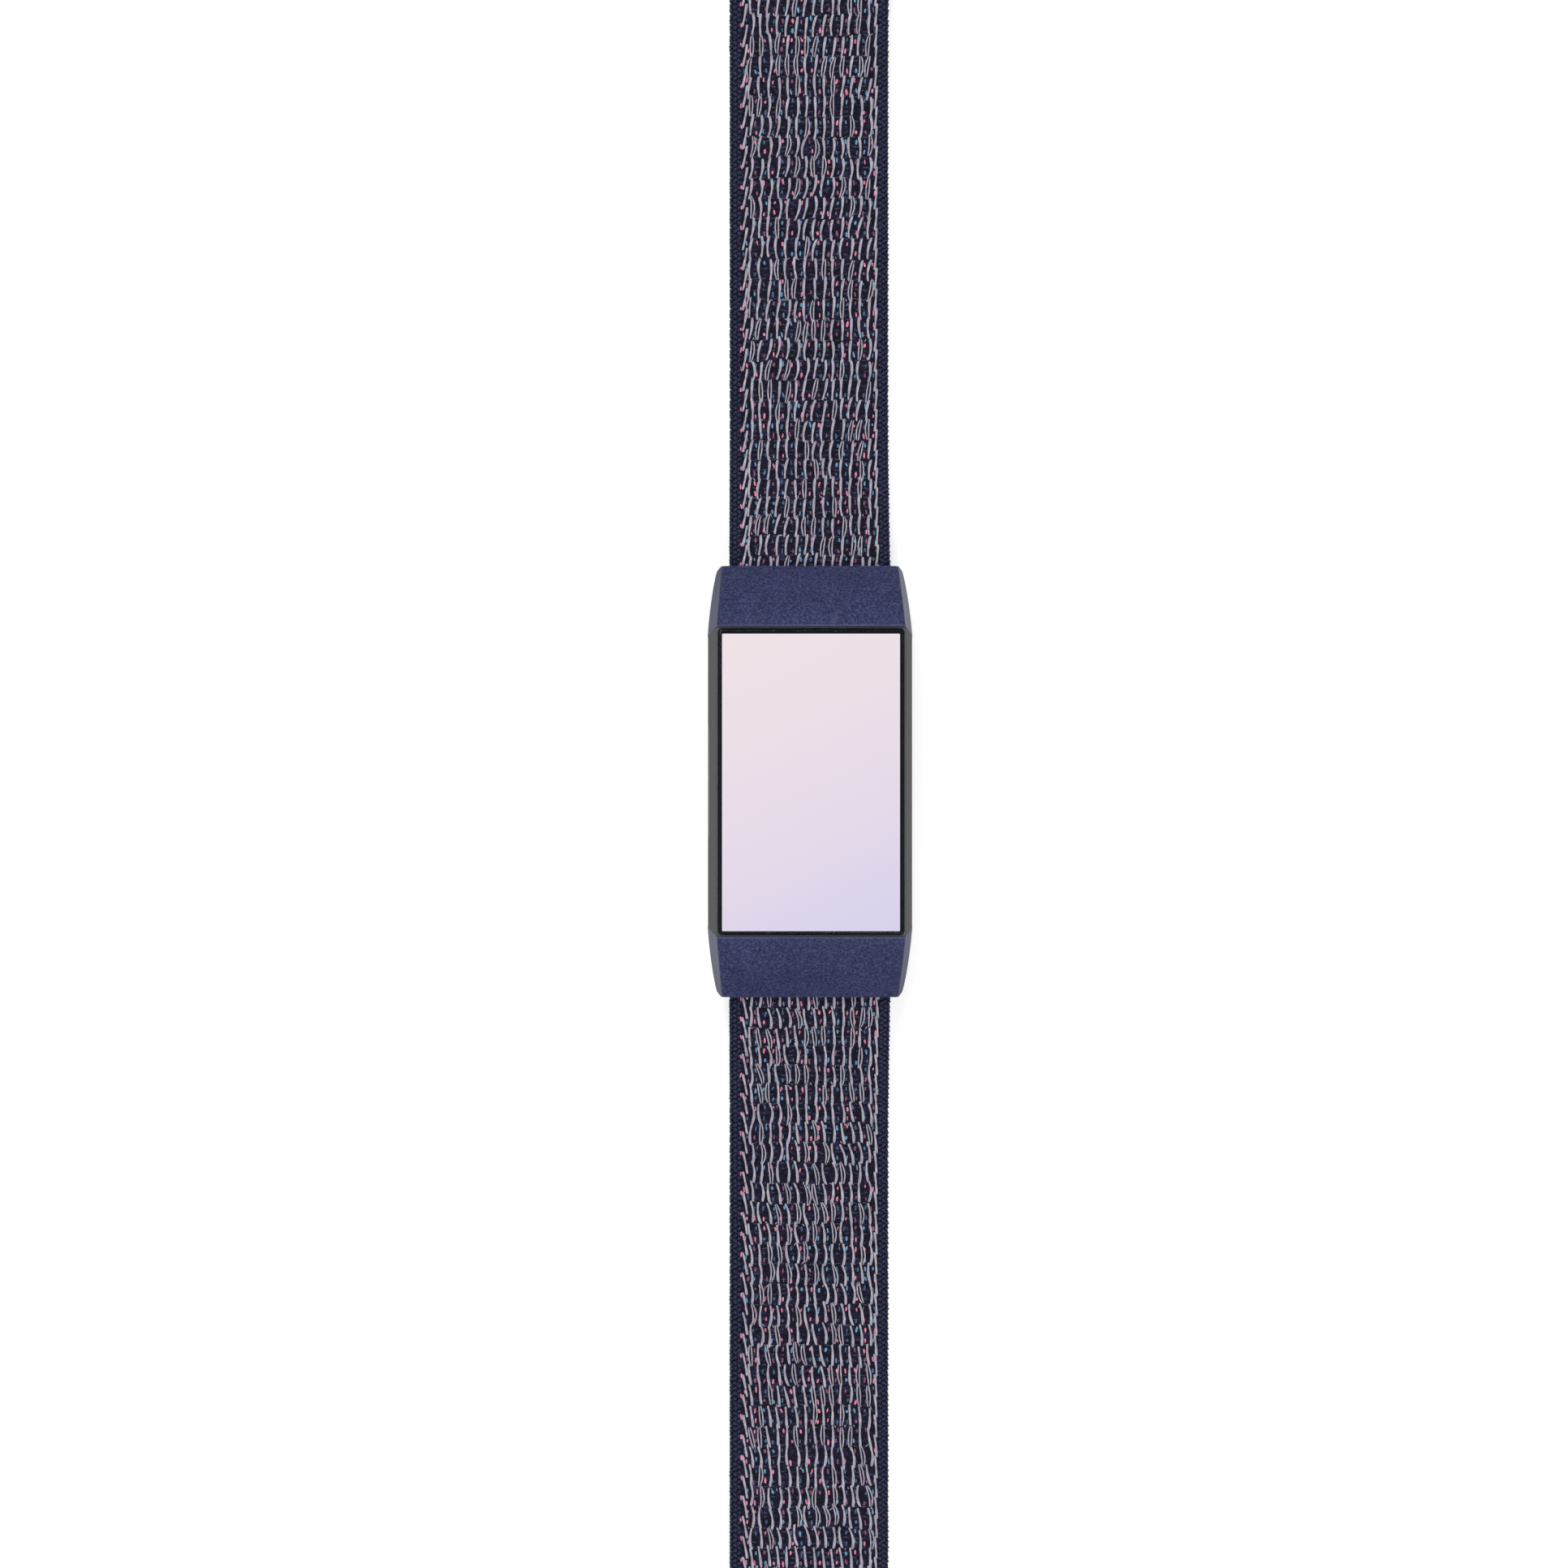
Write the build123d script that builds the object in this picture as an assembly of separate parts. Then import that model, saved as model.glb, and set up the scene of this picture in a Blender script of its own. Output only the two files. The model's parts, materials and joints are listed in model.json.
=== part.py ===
from build123d import *

"""Fitness tracker with a woven hook-and-loop band, laid open and flat.

Units are millimetres. The origin is the middle of the sensor window's resting face, under the tracker.
+Z points out of the display, +Y along the band to the buckle ring, +X to the display's right.
Each function builds one sub-part, and the table at the end names and writes them.
"""

import os
from math import atan2, cos, degrees, hypot, radians, sin

# Tracker body
TOP_HALF_LENGTH = 16.85  # where the end plane meets END_TOP_Z
END_TOP_Z = 11.5
END_SLOPE = 0.1485  # millimetres the end plane moves inwards for each one down
CASE_TOP = (10.3, 10.9)  # half width and height of each level of the body's cross-section
CASE_MIDDLE = (11.45, 6.0)
CASE_BOTTOM = (9.6, 1.4)
SPLIT_Z = 4.2  # where the case frame meets the rear cover
MIDDLE_ROUND = 3.0
BOTTOM_ROUND = 1.1
TOP_ROUND = 0.2
FAR = 40.0  # longer than anything it cuts

# Hollow inside the tracker
CAVITY_HALF_WIDTH = 9.2
CAVITY_HALF_LENGTH = 12.2
CAVITY_FLOOR_Z = 2.4
CAVITY_ROUND = 1.0

# Display stack
DISPLAY_SEAT_Z = 9.2
SEAT_HALF_WIDTH = 9.8
SEAT_HALF_LENGTH = 16.3
PANEL_HALF_WIDTH = 9.66
PANEL_TOP_Y = 16.05
PANEL_BOTTOM_Y = -16.25
PANEL_Z = (10.0, 10.85)
BACKING_Z = (9.3, 9.95)
BACKING_INSET = 0.6
GLASS_HALF_WIDTH = 10.2
GLASS_HALF_LENGTH = 16.7
GLASS_Z = (11.0, 11.9)
GLASS_CORNER = 0.5
PANEL_CORNER = 0.12
GLASS_EDGE_ROUND = 0.5
BORDER_OVERHANG = 0.05  # how far the glass reaches past its printed border

# Touch pad on the left side of the case
TOUCH_HALF_LENGTH = 6.1
TOUCH_RAMP = 0.6
TOUCH_FLOOR_X = -11.05
TOUCH_DEPTH = 0.26
TOUCH_Z = (6.1, 9.0)  # its lower edge is a ledge that faces up

# Rail that holds a band connector on each end of the tracker
RAIL_NECK_HALF = 2.6
RAIL_HEAD_HALF = 3.9
RAIL_HEAD_Y = (13.75, 14.75)
RAIL_Z = (5.7, 8.6)
RAIL_CLEARANCE = 0.1
NOTCH_HALF_WIDTH = 4.5  # the notch that a release lever's nose lies in
NOTCH_Y = 14.85
NOTCH_TOP_Z = 3.3

# Band connector: station along Y, then half width and height at the top, middle and bottom
CONNECTOR_STATIONS = (
    (15.0, (10.27, 12.2), (11.45, 6.0), (9.60, 1.5)),
    (17.0, (10.15, 11.55), (11.36, 5.8), (9.60, 1.5)),
    (19.3, (10.00, 10.3), (11.14, 5.3), (9.60, 1.6)),
    (21.6, (9.85, 8.55), (10.84, 4.7), (9.60, 1.8)),
    (23.9, (9.68, 6.3), (10.36, 4.1), (9.50, 2.3)),
)
CONNECTOR_TOP_ROUND = 0.45
CONNECTOR_MIDDLE_ROUND = 1.5
CONNECTOR_BOTTOM_ROUND = 0.7
CONNECTOR_CORNER = 0.45
SEAM_GAP = 0.05
CONNECTOR_TIP_Y = CONNECTOR_STATIONS[-1][0]

# Release lever inside each connector
LEVER_PIVOT = (17.5, 2.95)  # y and z
LEVER_HOLE_RADIUS = 0.45
LEVER_PIN_RADIUS = 0.4
LEVER_PIN_HALF_LENGTH = 5.4
LEVER_HALF_WIDTH = 4.3
LEVER_EAR = 0.8
LEVER_EAR_RADIUS = 0.7
LEVER_PAD_Y = (15.25, 18.05)
LEVER_PAD_Z = (1.6, 2.2)
POCKET_HALF_WIDTH = 4.6
POCKET_BACK_Y = 18.3
POCKET_ROOF_Z = 5.4
LEAF_Y = (16.05, 16.85)  # the leaf spring's free edges and the inside of its bend
LEAF_THICKNESS = 0.2
LEAF_HALF_WIDTH = 2.4
LEAF_PLAY = 0.02

# Band
STRAP_HALF_WIDTH = 9.0
STRAP_THICKNESS = 2.1
STRAP_MIDDLE_Z = STRAP_THICKNESS / 2
WRAP_THICKNESS = 1.1  # the thinned webbing that goes round a bar
PIN_CENTRE = (21.3, 3.9)  # y and z of the bar that holds the band
PIN_RADIUS = 0.75
PIN_HALF_LENGTH = 9.9
RUNNING_CLEARANCE = 0.05
EYE_RADIUS = PIN_RADIUS + RUNNING_CLEARANCE
LOOP_RADIUS = EYE_RADIUS + WRAP_THICKNESS + 0.15
SLOT_CLEARANCE = 0.15
PITCH = 15.6  # distance between the band's bending lines
SEGMENTS = 5
GAP = 0.8  # between neighbouring webbing segments
CORNER_ROUND = 0.35

# Buckle ring at the end of the upper band
RING_WIRE_RADIUS = 0.9
RING_REACH = 8.0  # from one cross bar to the other
RING_HALF_WIDTH = 10.6  # to the middle of a side rail
RING_CORNER = 1.5
RING_EYE_RADIUS = RING_WIRE_RADIUS + RUNNING_CLEARANCE
RING_LOOP_RADIUS = RING_EYE_RADIUS + WRAP_THICKNESS
RING_BAR = (PIN_CENTRE[0] + SEGMENTS * PITCH, RING_LOOP_RADIUS)

# Tail of the lower band
FOLD_GAP = 1.0
FOLD_Y = PIN_CENTRE[0] + SEGMENTS * PITCH
TAIL_LENGTHS = (16.6, 17.6, 17.6, 14.0)
TIP_LENGTH = 5.0
TIP_THICKNESS = 2.4
TIP_ROUND = 2.0
PATCH_HALF_WIDTH = 7.6
PATCH_THICKNESS = 1.0
PATCH_INSET = 0.6  # from the end of the webbing
PATCH_JOINT_INSET = 0.75  # from a bending line, so that the runs clear each other when the tail curls
PATCH_START_INSET = 5.6

# Stitching
STITCH_LENGTH = 1.5
STITCH_GAP = 0.7
STITCH_WIDTH = 0.35
STITCH_HEIGHT = 0.18


def block(x, y, z):
    """A box between two values on each axis."""
    size = (x[1] - x[0], y[1] - y[0], z[1] - z[0])
    middle = ((x[0] + x[1]) / 2, (y[0] + y[1]) / 2, (z[0] + z[1]) / 2)
    return Pos(*middle) * Box(*size)


def centred_block(half_x, y, z):
    """A box that is symmetric across the tracker."""
    return block((-half_x, half_x), y, z)


def rounded_block(half_x, y, z, radius):
    """A box with rounded upright edges."""
    solid = centred_block(half_x, y, z)
    return fillet(solid.edges().filter_by(Axis.Z), radius)


def side_prism(points, half_x):
    """A prism across the tracker from an outline of (y, z) points."""
    return extrude(Plane.YZ * Polygon(*points, align=None), amount=half_x, both=True)


def cross_bar(centre, radius, half_length):
    """A round bar across the tracker at (y, z)."""
    return Pos(0, *centre) * Rot(0, 90, 0) * Cylinder(radius, 2 * half_length)


def upright(x, y, z, radius):
    """A round post between two heights."""
    return Pos(x, y, (z[0] + z[1]) / 2) * Cylinder(radius, z[1] - z[0])


def cross_section(y, top, middle, bottom, rounds):
    """The closed outline across the body at one station, from three (half width, height) levels."""
    right = [bottom, middle, top]
    left = [(-x, z) for x, z in reversed(right)]
    outline = Polygon(*right, *left, align=None)
    for level, radius in zip((top, middle, bottom), rounds):
        corners = [v for v in outline.vertices() if abs(v.Y - level[1]) < 1e-6]
        outline = fillet(corners, radius)
    return Plane.XZ.offset(-y) * outline


def end_y(z):
    """Where the tracker's slanted end plane is at a height."""
    return TOP_HALF_LENGTH - END_SLOPE * (END_TOP_Z - z)


# Tracker shells


def tracker_envelope():
    """The outside of the case frame and rear cover together."""
    rounds = (TOP_ROUND, MIDDLE_ROUND, BOTTOM_ROUND)
    section = cross_section(0, CASE_TOP, CASE_MIDDLE, CASE_BOTTOM, rounds)
    body = extrude(section, amount=FAR / 2, both=True)
    low, high = 0.0, END_TOP_Z
    ends = [(-end_y(low), low), (end_y(low), low), (end_y(high), high), (-end_y(high), high)]
    return body & side_prism(ends, FAR / 2)


def rail_groove():
    """The T-shaped groove for a connector's rail and the notch for its lever, both open downwards."""
    z = (0, RAIL_Z[1] + RAIL_CLEARANCE)
    head_y = (RAIL_HEAD_Y[0] - RAIL_CLEARANCE, RAIL_HEAD_Y[1] + RAIL_CLEARANCE)
    neck = centred_block(RAIL_NECK_HALF + RAIL_CLEARANCE, (head_y[0], FAR / 2), z)
    head = centred_block(RAIL_HEAD_HALF + RAIL_CLEARANCE, head_y, z)
    notch = centred_block(NOTCH_HALF_WIDTH, (NOTCH_Y, FAR / 2), (0, NOTCH_TOP_Z))
    return neck + head + notch


def both_ends(solid):
    """A feature at the upper end and the same at the lower end."""
    return solid + Rot(0, 0, 180) * solid


def cavity():
    y = (-CAVITY_HALF_LENGTH, CAVITY_HALF_LENGTH)
    return rounded_block(CAVITY_HALF_WIDTH, y, (CAVITY_FLOOR_Z, DISPLAY_SEAT_Z + 1), CAVITY_ROUND)


def touch_recess():
    """The shallow finger recess on the left side, with ramped ends."""
    outer = -CASE_MIDDLE[0] - 1
    floor = TOUCH_FLOOR_X
    points = [
        (outer, -TOUCH_HALF_LENGTH - TOUCH_RAMP),
        (floor - TOUCH_DEPTH, -TOUCH_HALF_LENGTH - TOUCH_RAMP / 2),
        (floor, -TOUCH_HALF_LENGTH + TOUCH_RAMP / 2),
        (floor, TOUCH_HALF_LENGTH - TOUCH_RAMP / 2),
        (floor - TOUCH_DEPTH, TOUCH_HALF_LENGTH + TOUCH_RAMP / 2),
        (outer, TOUCH_HALF_LENGTH + TOUCH_RAMP),
    ]
    plan = Plane.XY.offset(TOUCH_Z[0]) * Polygon(*points, align=None)
    return extrude(plan, amount=TOUCH_Z[1] - TOUCH_Z[0])


def case_frame():
    above = centred_block(FAR / 2, (-FAR, FAR), (SPLIT_Z, CASE_TOP[1]))
    seat_y = (-SEAT_HALF_LENGTH, SEAT_HALF_LENGTH)
    seat = centred_block(SEAT_HALF_WIDTH, seat_y, (DISPLAY_SEAT_Z, FAR))
    solid = tracker_envelope() & above
    return solid - cavity() - seat - both_ends(rail_groove()) - touch_recess()


SEAL_HALF = (9.9, 13.1)  # outer half width and half length
SEAL_SECTION = (0.45, 0.45)  # width and height


def rear_seal():
    z = (SPLIT_Z - SEAL_SECTION[1], SPLIT_Z)
    inner = (SEAL_HALF[0] - SEAL_SECTION[0], SEAL_HALF[1] - SEAL_SECTION[0])
    outside = rounded_block(SEAL_HALF[0], (-SEAL_HALF[1], SEAL_HALF[1]), z, CAVITY_ROUND)
    return outside - rounded_block(inner[0], (-inner[1], inner[1]), z, CAVITY_ROUND / 2)


WINDOW_HALF = (5.2, 6.2)
WINDOW_CORNER = 1.8
WINDOW_FLANGE = (0.8, 0.3)  # how far it reaches past the opening, and its thickness
WINDOW_FLOOR_Z = 0.8
WINDOW_WALL = 1.0
CONTACT_SPACING = 3.0
CONTACT_Y = 9.6
CONTACT_RADIUS = 0.85
CONTACT_Z = (1.3, 2.7)
VENT_PLACE = (6.2, -9.4)
VENT_RADIUS = 0.5
VENT_MEMBRANE = (1.1, 0.2)  # radius and thickness


def window_opening(clearance, z):
    half_y = WINDOW_HALF[1] + clearance
    return rounded_block(WINDOW_HALF[0] + clearance, (-half_y, half_y), z, WINDOW_CORNER)


def rear_cover():
    below = centred_block(FAR / 2, (-FAR, FAR), (0, SPLIT_Z))
    solid = (tracker_envelope() & below) - cavity() - both_ends(rail_groove())
    solid -= rear_seal()
    solid -= window_opening(RUNNING_CLEARANCE, (0, CAVITY_FLOOR_Z + 1))
    for n in (-1, 0, 1):
        solid -= upright(n * CONTACT_SPACING, CONTACT_Y, (0, SPLIT_Z), CONTACT_RADIUS)
    return solid - upright(*VENT_PLACE, (0, SPLIT_Z), VENT_RADIUS)


def sensor_window():
    """The raised clear window on the wrist side, hollow over the light sensors, with an inner flange."""
    plug = window_opening(0, (0, CAVITY_FLOOR_Z))
    plug = chamfer(plug.faces().sort_by(Axis.Z)[0].edges(), 1.1, 0.7)
    flange_z = (CAVITY_FLOOR_Z, CAVITY_FLOOR_Z + WINDOW_FLANGE[1])
    flange = window_opening(WINDOW_FLANGE[0], flange_z)
    hollow = window_opening(-WINDOW_WALL, (WINDOW_FLOOR_Z, SPLIT_Z))
    return plug + flange - hollow


def charge_contacts():
    """The three round charging contacts in the rear cover."""
    places = [n * CONTACT_SPACING for n in (-1, 0, 1)]
    return [upright(x, CONTACT_Y, CONTACT_Z, CONTACT_RADIUS) for x in places]


def vent_membrane():
    z = (CAVITY_FLOOR_Z, CAVITY_FLOOR_Z + VENT_MEMBRANE[1])
    return upright(*VENT_PLACE, z, VENT_MEMBRANE[0])


# Display stack


def cover_glass():
    y = (-GLASS_HALF_LENGTH, GLASS_HALF_LENGTH)
    solid = rounded_block(GLASS_HALF_WIDTH, y, GLASS_Z, GLASS_CORNER)
    top = solid.faces().sort_by(Axis.Z)[-1]
    return fillet(top.edges(), GLASS_EDGE_ROUND)


def glass_border():
    """The black printed and glued border under the edge of the glass."""
    z = (CASE_TOP[1], GLASS_Z[0])
    half = (GLASS_HALF_WIDTH - BORDER_OVERHANG, GLASS_HALF_LENGTH - BORDER_OVERHANG)
    outside = rounded_block(half[0], (-half[1], half[1]), z, GLASS_CORNER)
    return outside - rounded_block(PANEL_HALF_WIDTH, (PANEL_BOTTOM_Y, PANEL_TOP_Y), z, PANEL_CORNER)


def display_panel():
    return centred_block(PANEL_HALF_WIDTH, (PANEL_BOTTOM_Y, PANEL_TOP_Y), PANEL_Z)


def display_backing():
    y = (PANEL_BOTTOM_Y + BACKING_INSET, PANEL_TOP_Y - BACKING_INSET)
    return centred_block(PANEL_HALF_WIDTH - BACKING_INSET, y, BACKING_Z)


# Electronics

CHASSIS_HALF = (9.0, 12.0)
CHASSIS_WALL = 0.6
CHASSIS_Z = (3.3, 9.1)
CHASSIS_FLOOR_Z = (5.6, 6.0)
BATTERY_HALF = (8.1, 11.2)
BATTERY_Z = (3.4, 5.5)
BOARD_Z = (6.5, 7.1)
BOARD_HALF_WIDTH = 8.2
BOARD_Y = (-10.6, 3.4)
SCREW_PLACES = tuple((x, y) for x in (-7.3, 7.3) for y in (-9.7, 2.5))
SCREW_HEAD = (0.9, 0.4)  # radius and height
SCREW_SHANK_RADIUS = 0.45
STANDOFF_RADIUS = 0.85
MOTOR_CENTRE = (-3.6, 7.4)
MOTOR_RADIUS = 3.8
MOTOR_Z = (6.05, 8.75)
MOTOR_WALL = 0.3
MOTOR_SHAFT_RADIUS = 0.4
ROTOR_HOLE_RADIUS = 0.45
ROTOR_HUB_RADIUS = 1.1
ROTOR_RADIUS = 3.2
ROTOR_Z = (6.75, 8.05)
CABLE_X = (1.6, 5.6)
SENSOR_BOARD_Z = (2.75, 3.1)
SENSOR_BOARD_HALF = (5.6, 6.6)
LED_SIDE = 1.2
LED_HEIGHT = 0.5
LED_PLACES = ((0, -1.2), (0, 1.2), (0, 3.6))
DIODE_SIDE = (1.8, 2.6)
DIODE_HEIGHT = 0.4
DIODE_PLACES = ((-2.9, 0), (2.9, 0))
BAFFLE_X = 1.35
BAFFLE_THICKNESS = 0.3
BAFFLE_HALF_LENGTH = 4.6


def inner_chassis():
    """The plastic tray that parts the battery below from the board above."""
    outside = rounded_block(CHASSIS_HALF[0], (-CHASSIS_HALF[1], CHASSIS_HALF[1]), CHASSIS_Z, 0.8)
    inside = (CHASSIS_HALF[0] - CHASSIS_WALL, CHASSIS_HALF[1] - CHASSIS_WALL)
    y = (-inside[1], inside[1])
    solid = outside - centred_block(inside[0], y, (0, CHASSIS_FLOOR_Z[0]))
    solid -= centred_block(inside[0], y, (CHASSIS_FLOOR_Z[1], FAR))
    for x, place_y in SCREW_PLACES:
        z = (CHASSIS_FLOOR_Z[0] + 0.1, BOARD_Z[0])
        solid += upright(x, place_y, z, STANDOFF_RADIUS)
        solid -= upright(x, place_y, z, SCREW_SHANK_RADIUS)
    return solid


def battery_cell():
    solid = centred_block(BATTERY_HALF[0], (-BATTERY_HALF[1], BATTERY_HALF[1]), BATTERY_Z)
    return fillet(solid.edges().filter_by(Axis.Y), 0.6)


def main_board():
    solid = rounded_block(BOARD_HALF_WIDTH, BOARD_Y, BOARD_Z, 0.6)
    for x, y in SCREW_PLACES:
        solid -= upright(x, y, BOARD_Z, SCREW_SHANK_RADIUS)
    return solid


def board_chips():
    """The processor's shield can and the smaller parts on the board."""
    z = BOARD_Z[1]
    return [
        block((-5.4, 0.6), (-8.4, -2.4), (z, z + 1.2)),
        block((2.2, 5.6), (-7.6, -4.2), (z, z + 0.9)),
        block((2.4, 5.0), (-2.6, 0.2), (z, z + 0.8)),
        block((-4.6, -1.8), (-1.0, 1.8), (z, z + 0.9)),
        block((-0.6, 1.0), (0.6, 2.2), (z, z + 0.6)),
    ]


def board_screws():
    screws = []
    for x, y in SCREW_PLACES:
        head = upright(x, y, (BOARD_Z[1], BOARD_Z[1] + SCREW_HEAD[1]), SCREW_HEAD[0])
        shank = upright(x, y, (CHASSIS_FLOOR_Z[1], BOARD_Z[1]), SCREW_SHANK_RADIUS)
        screws.append(head + shank)
    return screws


def display_cable():
    """The ribbon that folds down from the display to the board."""
    outline = [
        (-10.95, 9.25), (-6.0, 9.25), (-6.0, 9.1), (-10.8, 9.1),
        (-10.8, 8.0), (-9.2, 8.0), (-9.2, 7.85), (-10.95, 7.85),
    ]
    plug = block(CABLE_X, (-10.2, -9.2), (BOARD_Z[1], 7.85))
    middle = sum(CABLE_X) / 2
    return plug + Pos(middle, 0, 0) * side_prism(outline, CABLE_X[1] - middle)


def antenna_strip():
    """The radio antenna, a thin strip standing along the right wall inside the chassis."""
    return block((8.15, 8.35), (-8.0, 8.0), (7.3, 9.0))


def touch_sensor():
    """The pressure-sensing strip behind the recess in the case's left side."""
    return block((-CAVITY_HALF_WIDTH, -CHASSIS_HALF[0] - 0.03), (-5.0, 5.0), (4.6, 8.6))


def altimeter():
    """The air-pressure sensor, a small can near the vent."""
    can = block((3.6, 6.2), (5.6, 8.2), (CHASSIS_FLOOR_Z[1], CHASSIS_FLOOR_Z[1] + 1.1))
    return can - upright(4.9, 6.9, (6.6, 7.2), 0.35)


def vibration_motor_can():
    solid = upright(*MOTOR_CENTRE, MOTOR_Z, MOTOR_RADIUS)
    inner = (MOTOR_Z[0] + MOTOR_WALL, MOTOR_Z[1] - MOTOR_WALL)
    solid -= upright(*MOTOR_CENTRE, inner, MOTOR_RADIUS - MOTOR_WALL)
    return solid + upright(*MOTOR_CENTRE, MOTOR_Z, MOTOR_SHAFT_RADIUS)


def vibration_motor_rotor():
    """The off-centre weight: half a disc on a hub, free on the motor's shaft."""
    disc = upright(*MOTOR_CENTRE, ROTOR_Z, ROTOR_RADIUS)
    x, y = MOTOR_CENTRE
    half = disc & block((x - FAR, x + FAR), (y, y + FAR), ROTOR_Z)
    hub = upright(*MOTOR_CENTRE, ROTOR_Z, ROTOR_HUB_RADIUS)
    return half + hub - upright(*MOTOR_CENTRE, ROTOR_Z, ROTOR_HOLE_RADIUS)


def sensor_board():
    half_y = SENSOR_BOARD_HALF[1]
    return rounded_block(SENSOR_BOARD_HALF[0], (-half_y, half_y), SENSOR_BOARD_Z, 1.0)


def under_sensor_board(places, side, height):
    """Square parts that hang under the sensor board, facing the wrist."""
    z = (SENSOR_BOARD_Z[0] - height, SENSOR_BOARD_Z[0])
    return [
        block((x - side[0] / 2, x + side[0] / 2), (y - side[1] / 2, y + side[1] / 2), z)
        for x, y in places
    ]


def sensor_leds():
    return under_sensor_board(LED_PLACES, (LED_SIDE, LED_SIDE), LED_HEIGHT)


def photodiodes():
    return under_sensor_board(DIODE_PLACES, DIODE_SIDE, DIODE_HEIGHT)


def light_baffles():
    """The two black walls that keep the light of the diodes from going straight to the sensors."""
    walls = []
    for side in (-1, 1):
        x = sorted((side * BAFFLE_X, side * (BAFFLE_X + BAFFLE_THICKNESS)))
        y = (-BAFFLE_HALF_LENGTH, BAFFLE_HALF_LENGTH)
        walls.append(block(x, y, (WINDOW_FLOOR_Z, SENSOR_BOARD_Z[0])))
    return walls


# Band connectors, built for the upper end and turned round for the lower end


def strap_top_slope():
    """How far the band's outer face drops for each millimetre along its first segment."""
    return (PIN_CENTRE[1] + LOOP_RADIUS - STRAP_THICKNESS) / PITCH


def strap_slot():
    """The room for the band's end round its bar: everything under the connector's roof."""
    y, z = PIN_CENTRE
    radius = LOOP_RADIUS + SLOT_CLEARANCE + RUNNING_CLEARANCE
    beyond = CONNECTOR_TIP_Y + 1
    roof_start = z + radius
    roof_end = z + LOOP_RADIUS + SLOT_CLEARANCE - strap_top_slope() * (beyond - y)
    under = [(y - radius, z), (y - radius, 0), (beyond, 0), (beyond, roof_end), (y, roof_start)]
    half = STRAP_HALF_WIDTH + SLOT_CLEARANCE
    return side_prism(under, half) + cross_bar(PIN_CENTRE, radius, half)


def connector():
    """A connector's shell: a rail for the tracker at one end and a slot for the band at the other."""
    rounds = (CONNECTOR_TOP_ROUND, CONNECTOR_MIDDLE_ROUND, CONNECTOR_BOTTOM_ROUND)
    sections = [cross_section(*station, rounds) for station in CONNECTOR_STATIONS]
    body = loft(sections)
    low, high = 0.0, 14.0
    seam = [
        (end_y(low) + SEAM_GAP, low),
        (FAR, low),
        (FAR, high),
        (end_y(high) + SEAM_GAP, high),
    ]
    body &= side_prism(seam, FAR / 2)
    plan_half = CONNECTOR_STATIONS[-1][2][0]
    tip = centred_block(plan_half, (0, CONNECTOR_TIP_Y), (0, FAR / 2))
    corners = tip.edges().filter_by(Axis.Z).sort_by(Axis.Y)[-2:]
    tip = chamfer(corners, CONNECTOR_CORNER)
    outer = centred_block(FAR / 2, (0, CONNECTOR_TIP_Y - CONNECTOR_CORNER), (0, FAR / 2))
    body &= tip + outer
    head = centred_block(RAIL_HEAD_HALF, RAIL_HEAD_Y, RAIL_Z)
    neck = centred_block(RAIL_NECK_HALF, (RAIL_HEAD_Y[0], LEVER_PIVOT[0]), RAIL_Z)
    pocket = centred_block(POCKET_HALF_WIDTH, (0, POCKET_BACK_Y), (0, POCKET_ROOF_Z))
    body = body - pocket - strap_slot() + head + neck
    body -= cross_bar(PIN_CENTRE, PIN_RADIUS, PIN_HALF_LENGTH)
    return body - cross_bar(LEVER_PIVOT, LEVER_PIN_RADIUS, LEVER_PIN_HALF_LENGTH)


def strap_pin():
    return cross_bar(PIN_CENTRE, PIN_RADIUS, PIN_HALF_LENGTH)


def lever_pin():
    return cross_bar(LEVER_PIVOT, LEVER_PIN_RADIUS, LEVER_PIN_HALF_LENGTH)


def release_lever():
    """The flat metal button under a connector, with two eyes that turn on the lever pin."""
    solid = rounded_block(LEVER_HALF_WIDTH, LEVER_PAD_Y, LEVER_PAD_Z, 0.3)
    for side in (-1, 1):
        middle = side * (LEVER_HALF_WIDTH - LEVER_EAR / 2)
        solid += Pos(middle, 0, 0) * cross_bar(LEVER_PIVOT, LEVER_EAR_RADIUS, LEVER_EAR / 2)
    return solid - cross_bar(LEVER_PIVOT, LEVER_HOLE_RADIUS, LEVER_HALF_WIDTH)


def lever_spring():
    """The bent leaf between the lever's pad and the pocket's roof."""
    low = LEVER_PAD_Z[1] + LEAF_PLAY
    high = POCKET_ROOF_Z - LEAF_PLAY
    middle = (low + high) / 2
    free, bend = LEAF_Y
    outline = [
        (free, low),
        (free + LEAF_THICKNESS, low),
        (bend + LEAF_THICKNESS, middle),
        (free + LEAF_THICKNESS, high),
        (free, high),
        (bend, middle),
    ]
    return side_prism(outline, LEAF_HALF_WIDTH)


def at_lower_end(solid):
    """The same sub-part at the other end of the tracker."""
    return Rot(0, 0, 180) * solid


# Band segments, built along +Y and turned round for the lower band


def webbing(start, end, thickness=STRAP_THICKNESS):
    """A straight run of webbing that lies flat, with softened long edges."""
    solid = centred_block(STRAP_HALF_WIDTH, (start, end), (0, thickness))
    return fillet(solid.edges().filter_by(Axis.Y), CORNER_ROUND)


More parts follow.
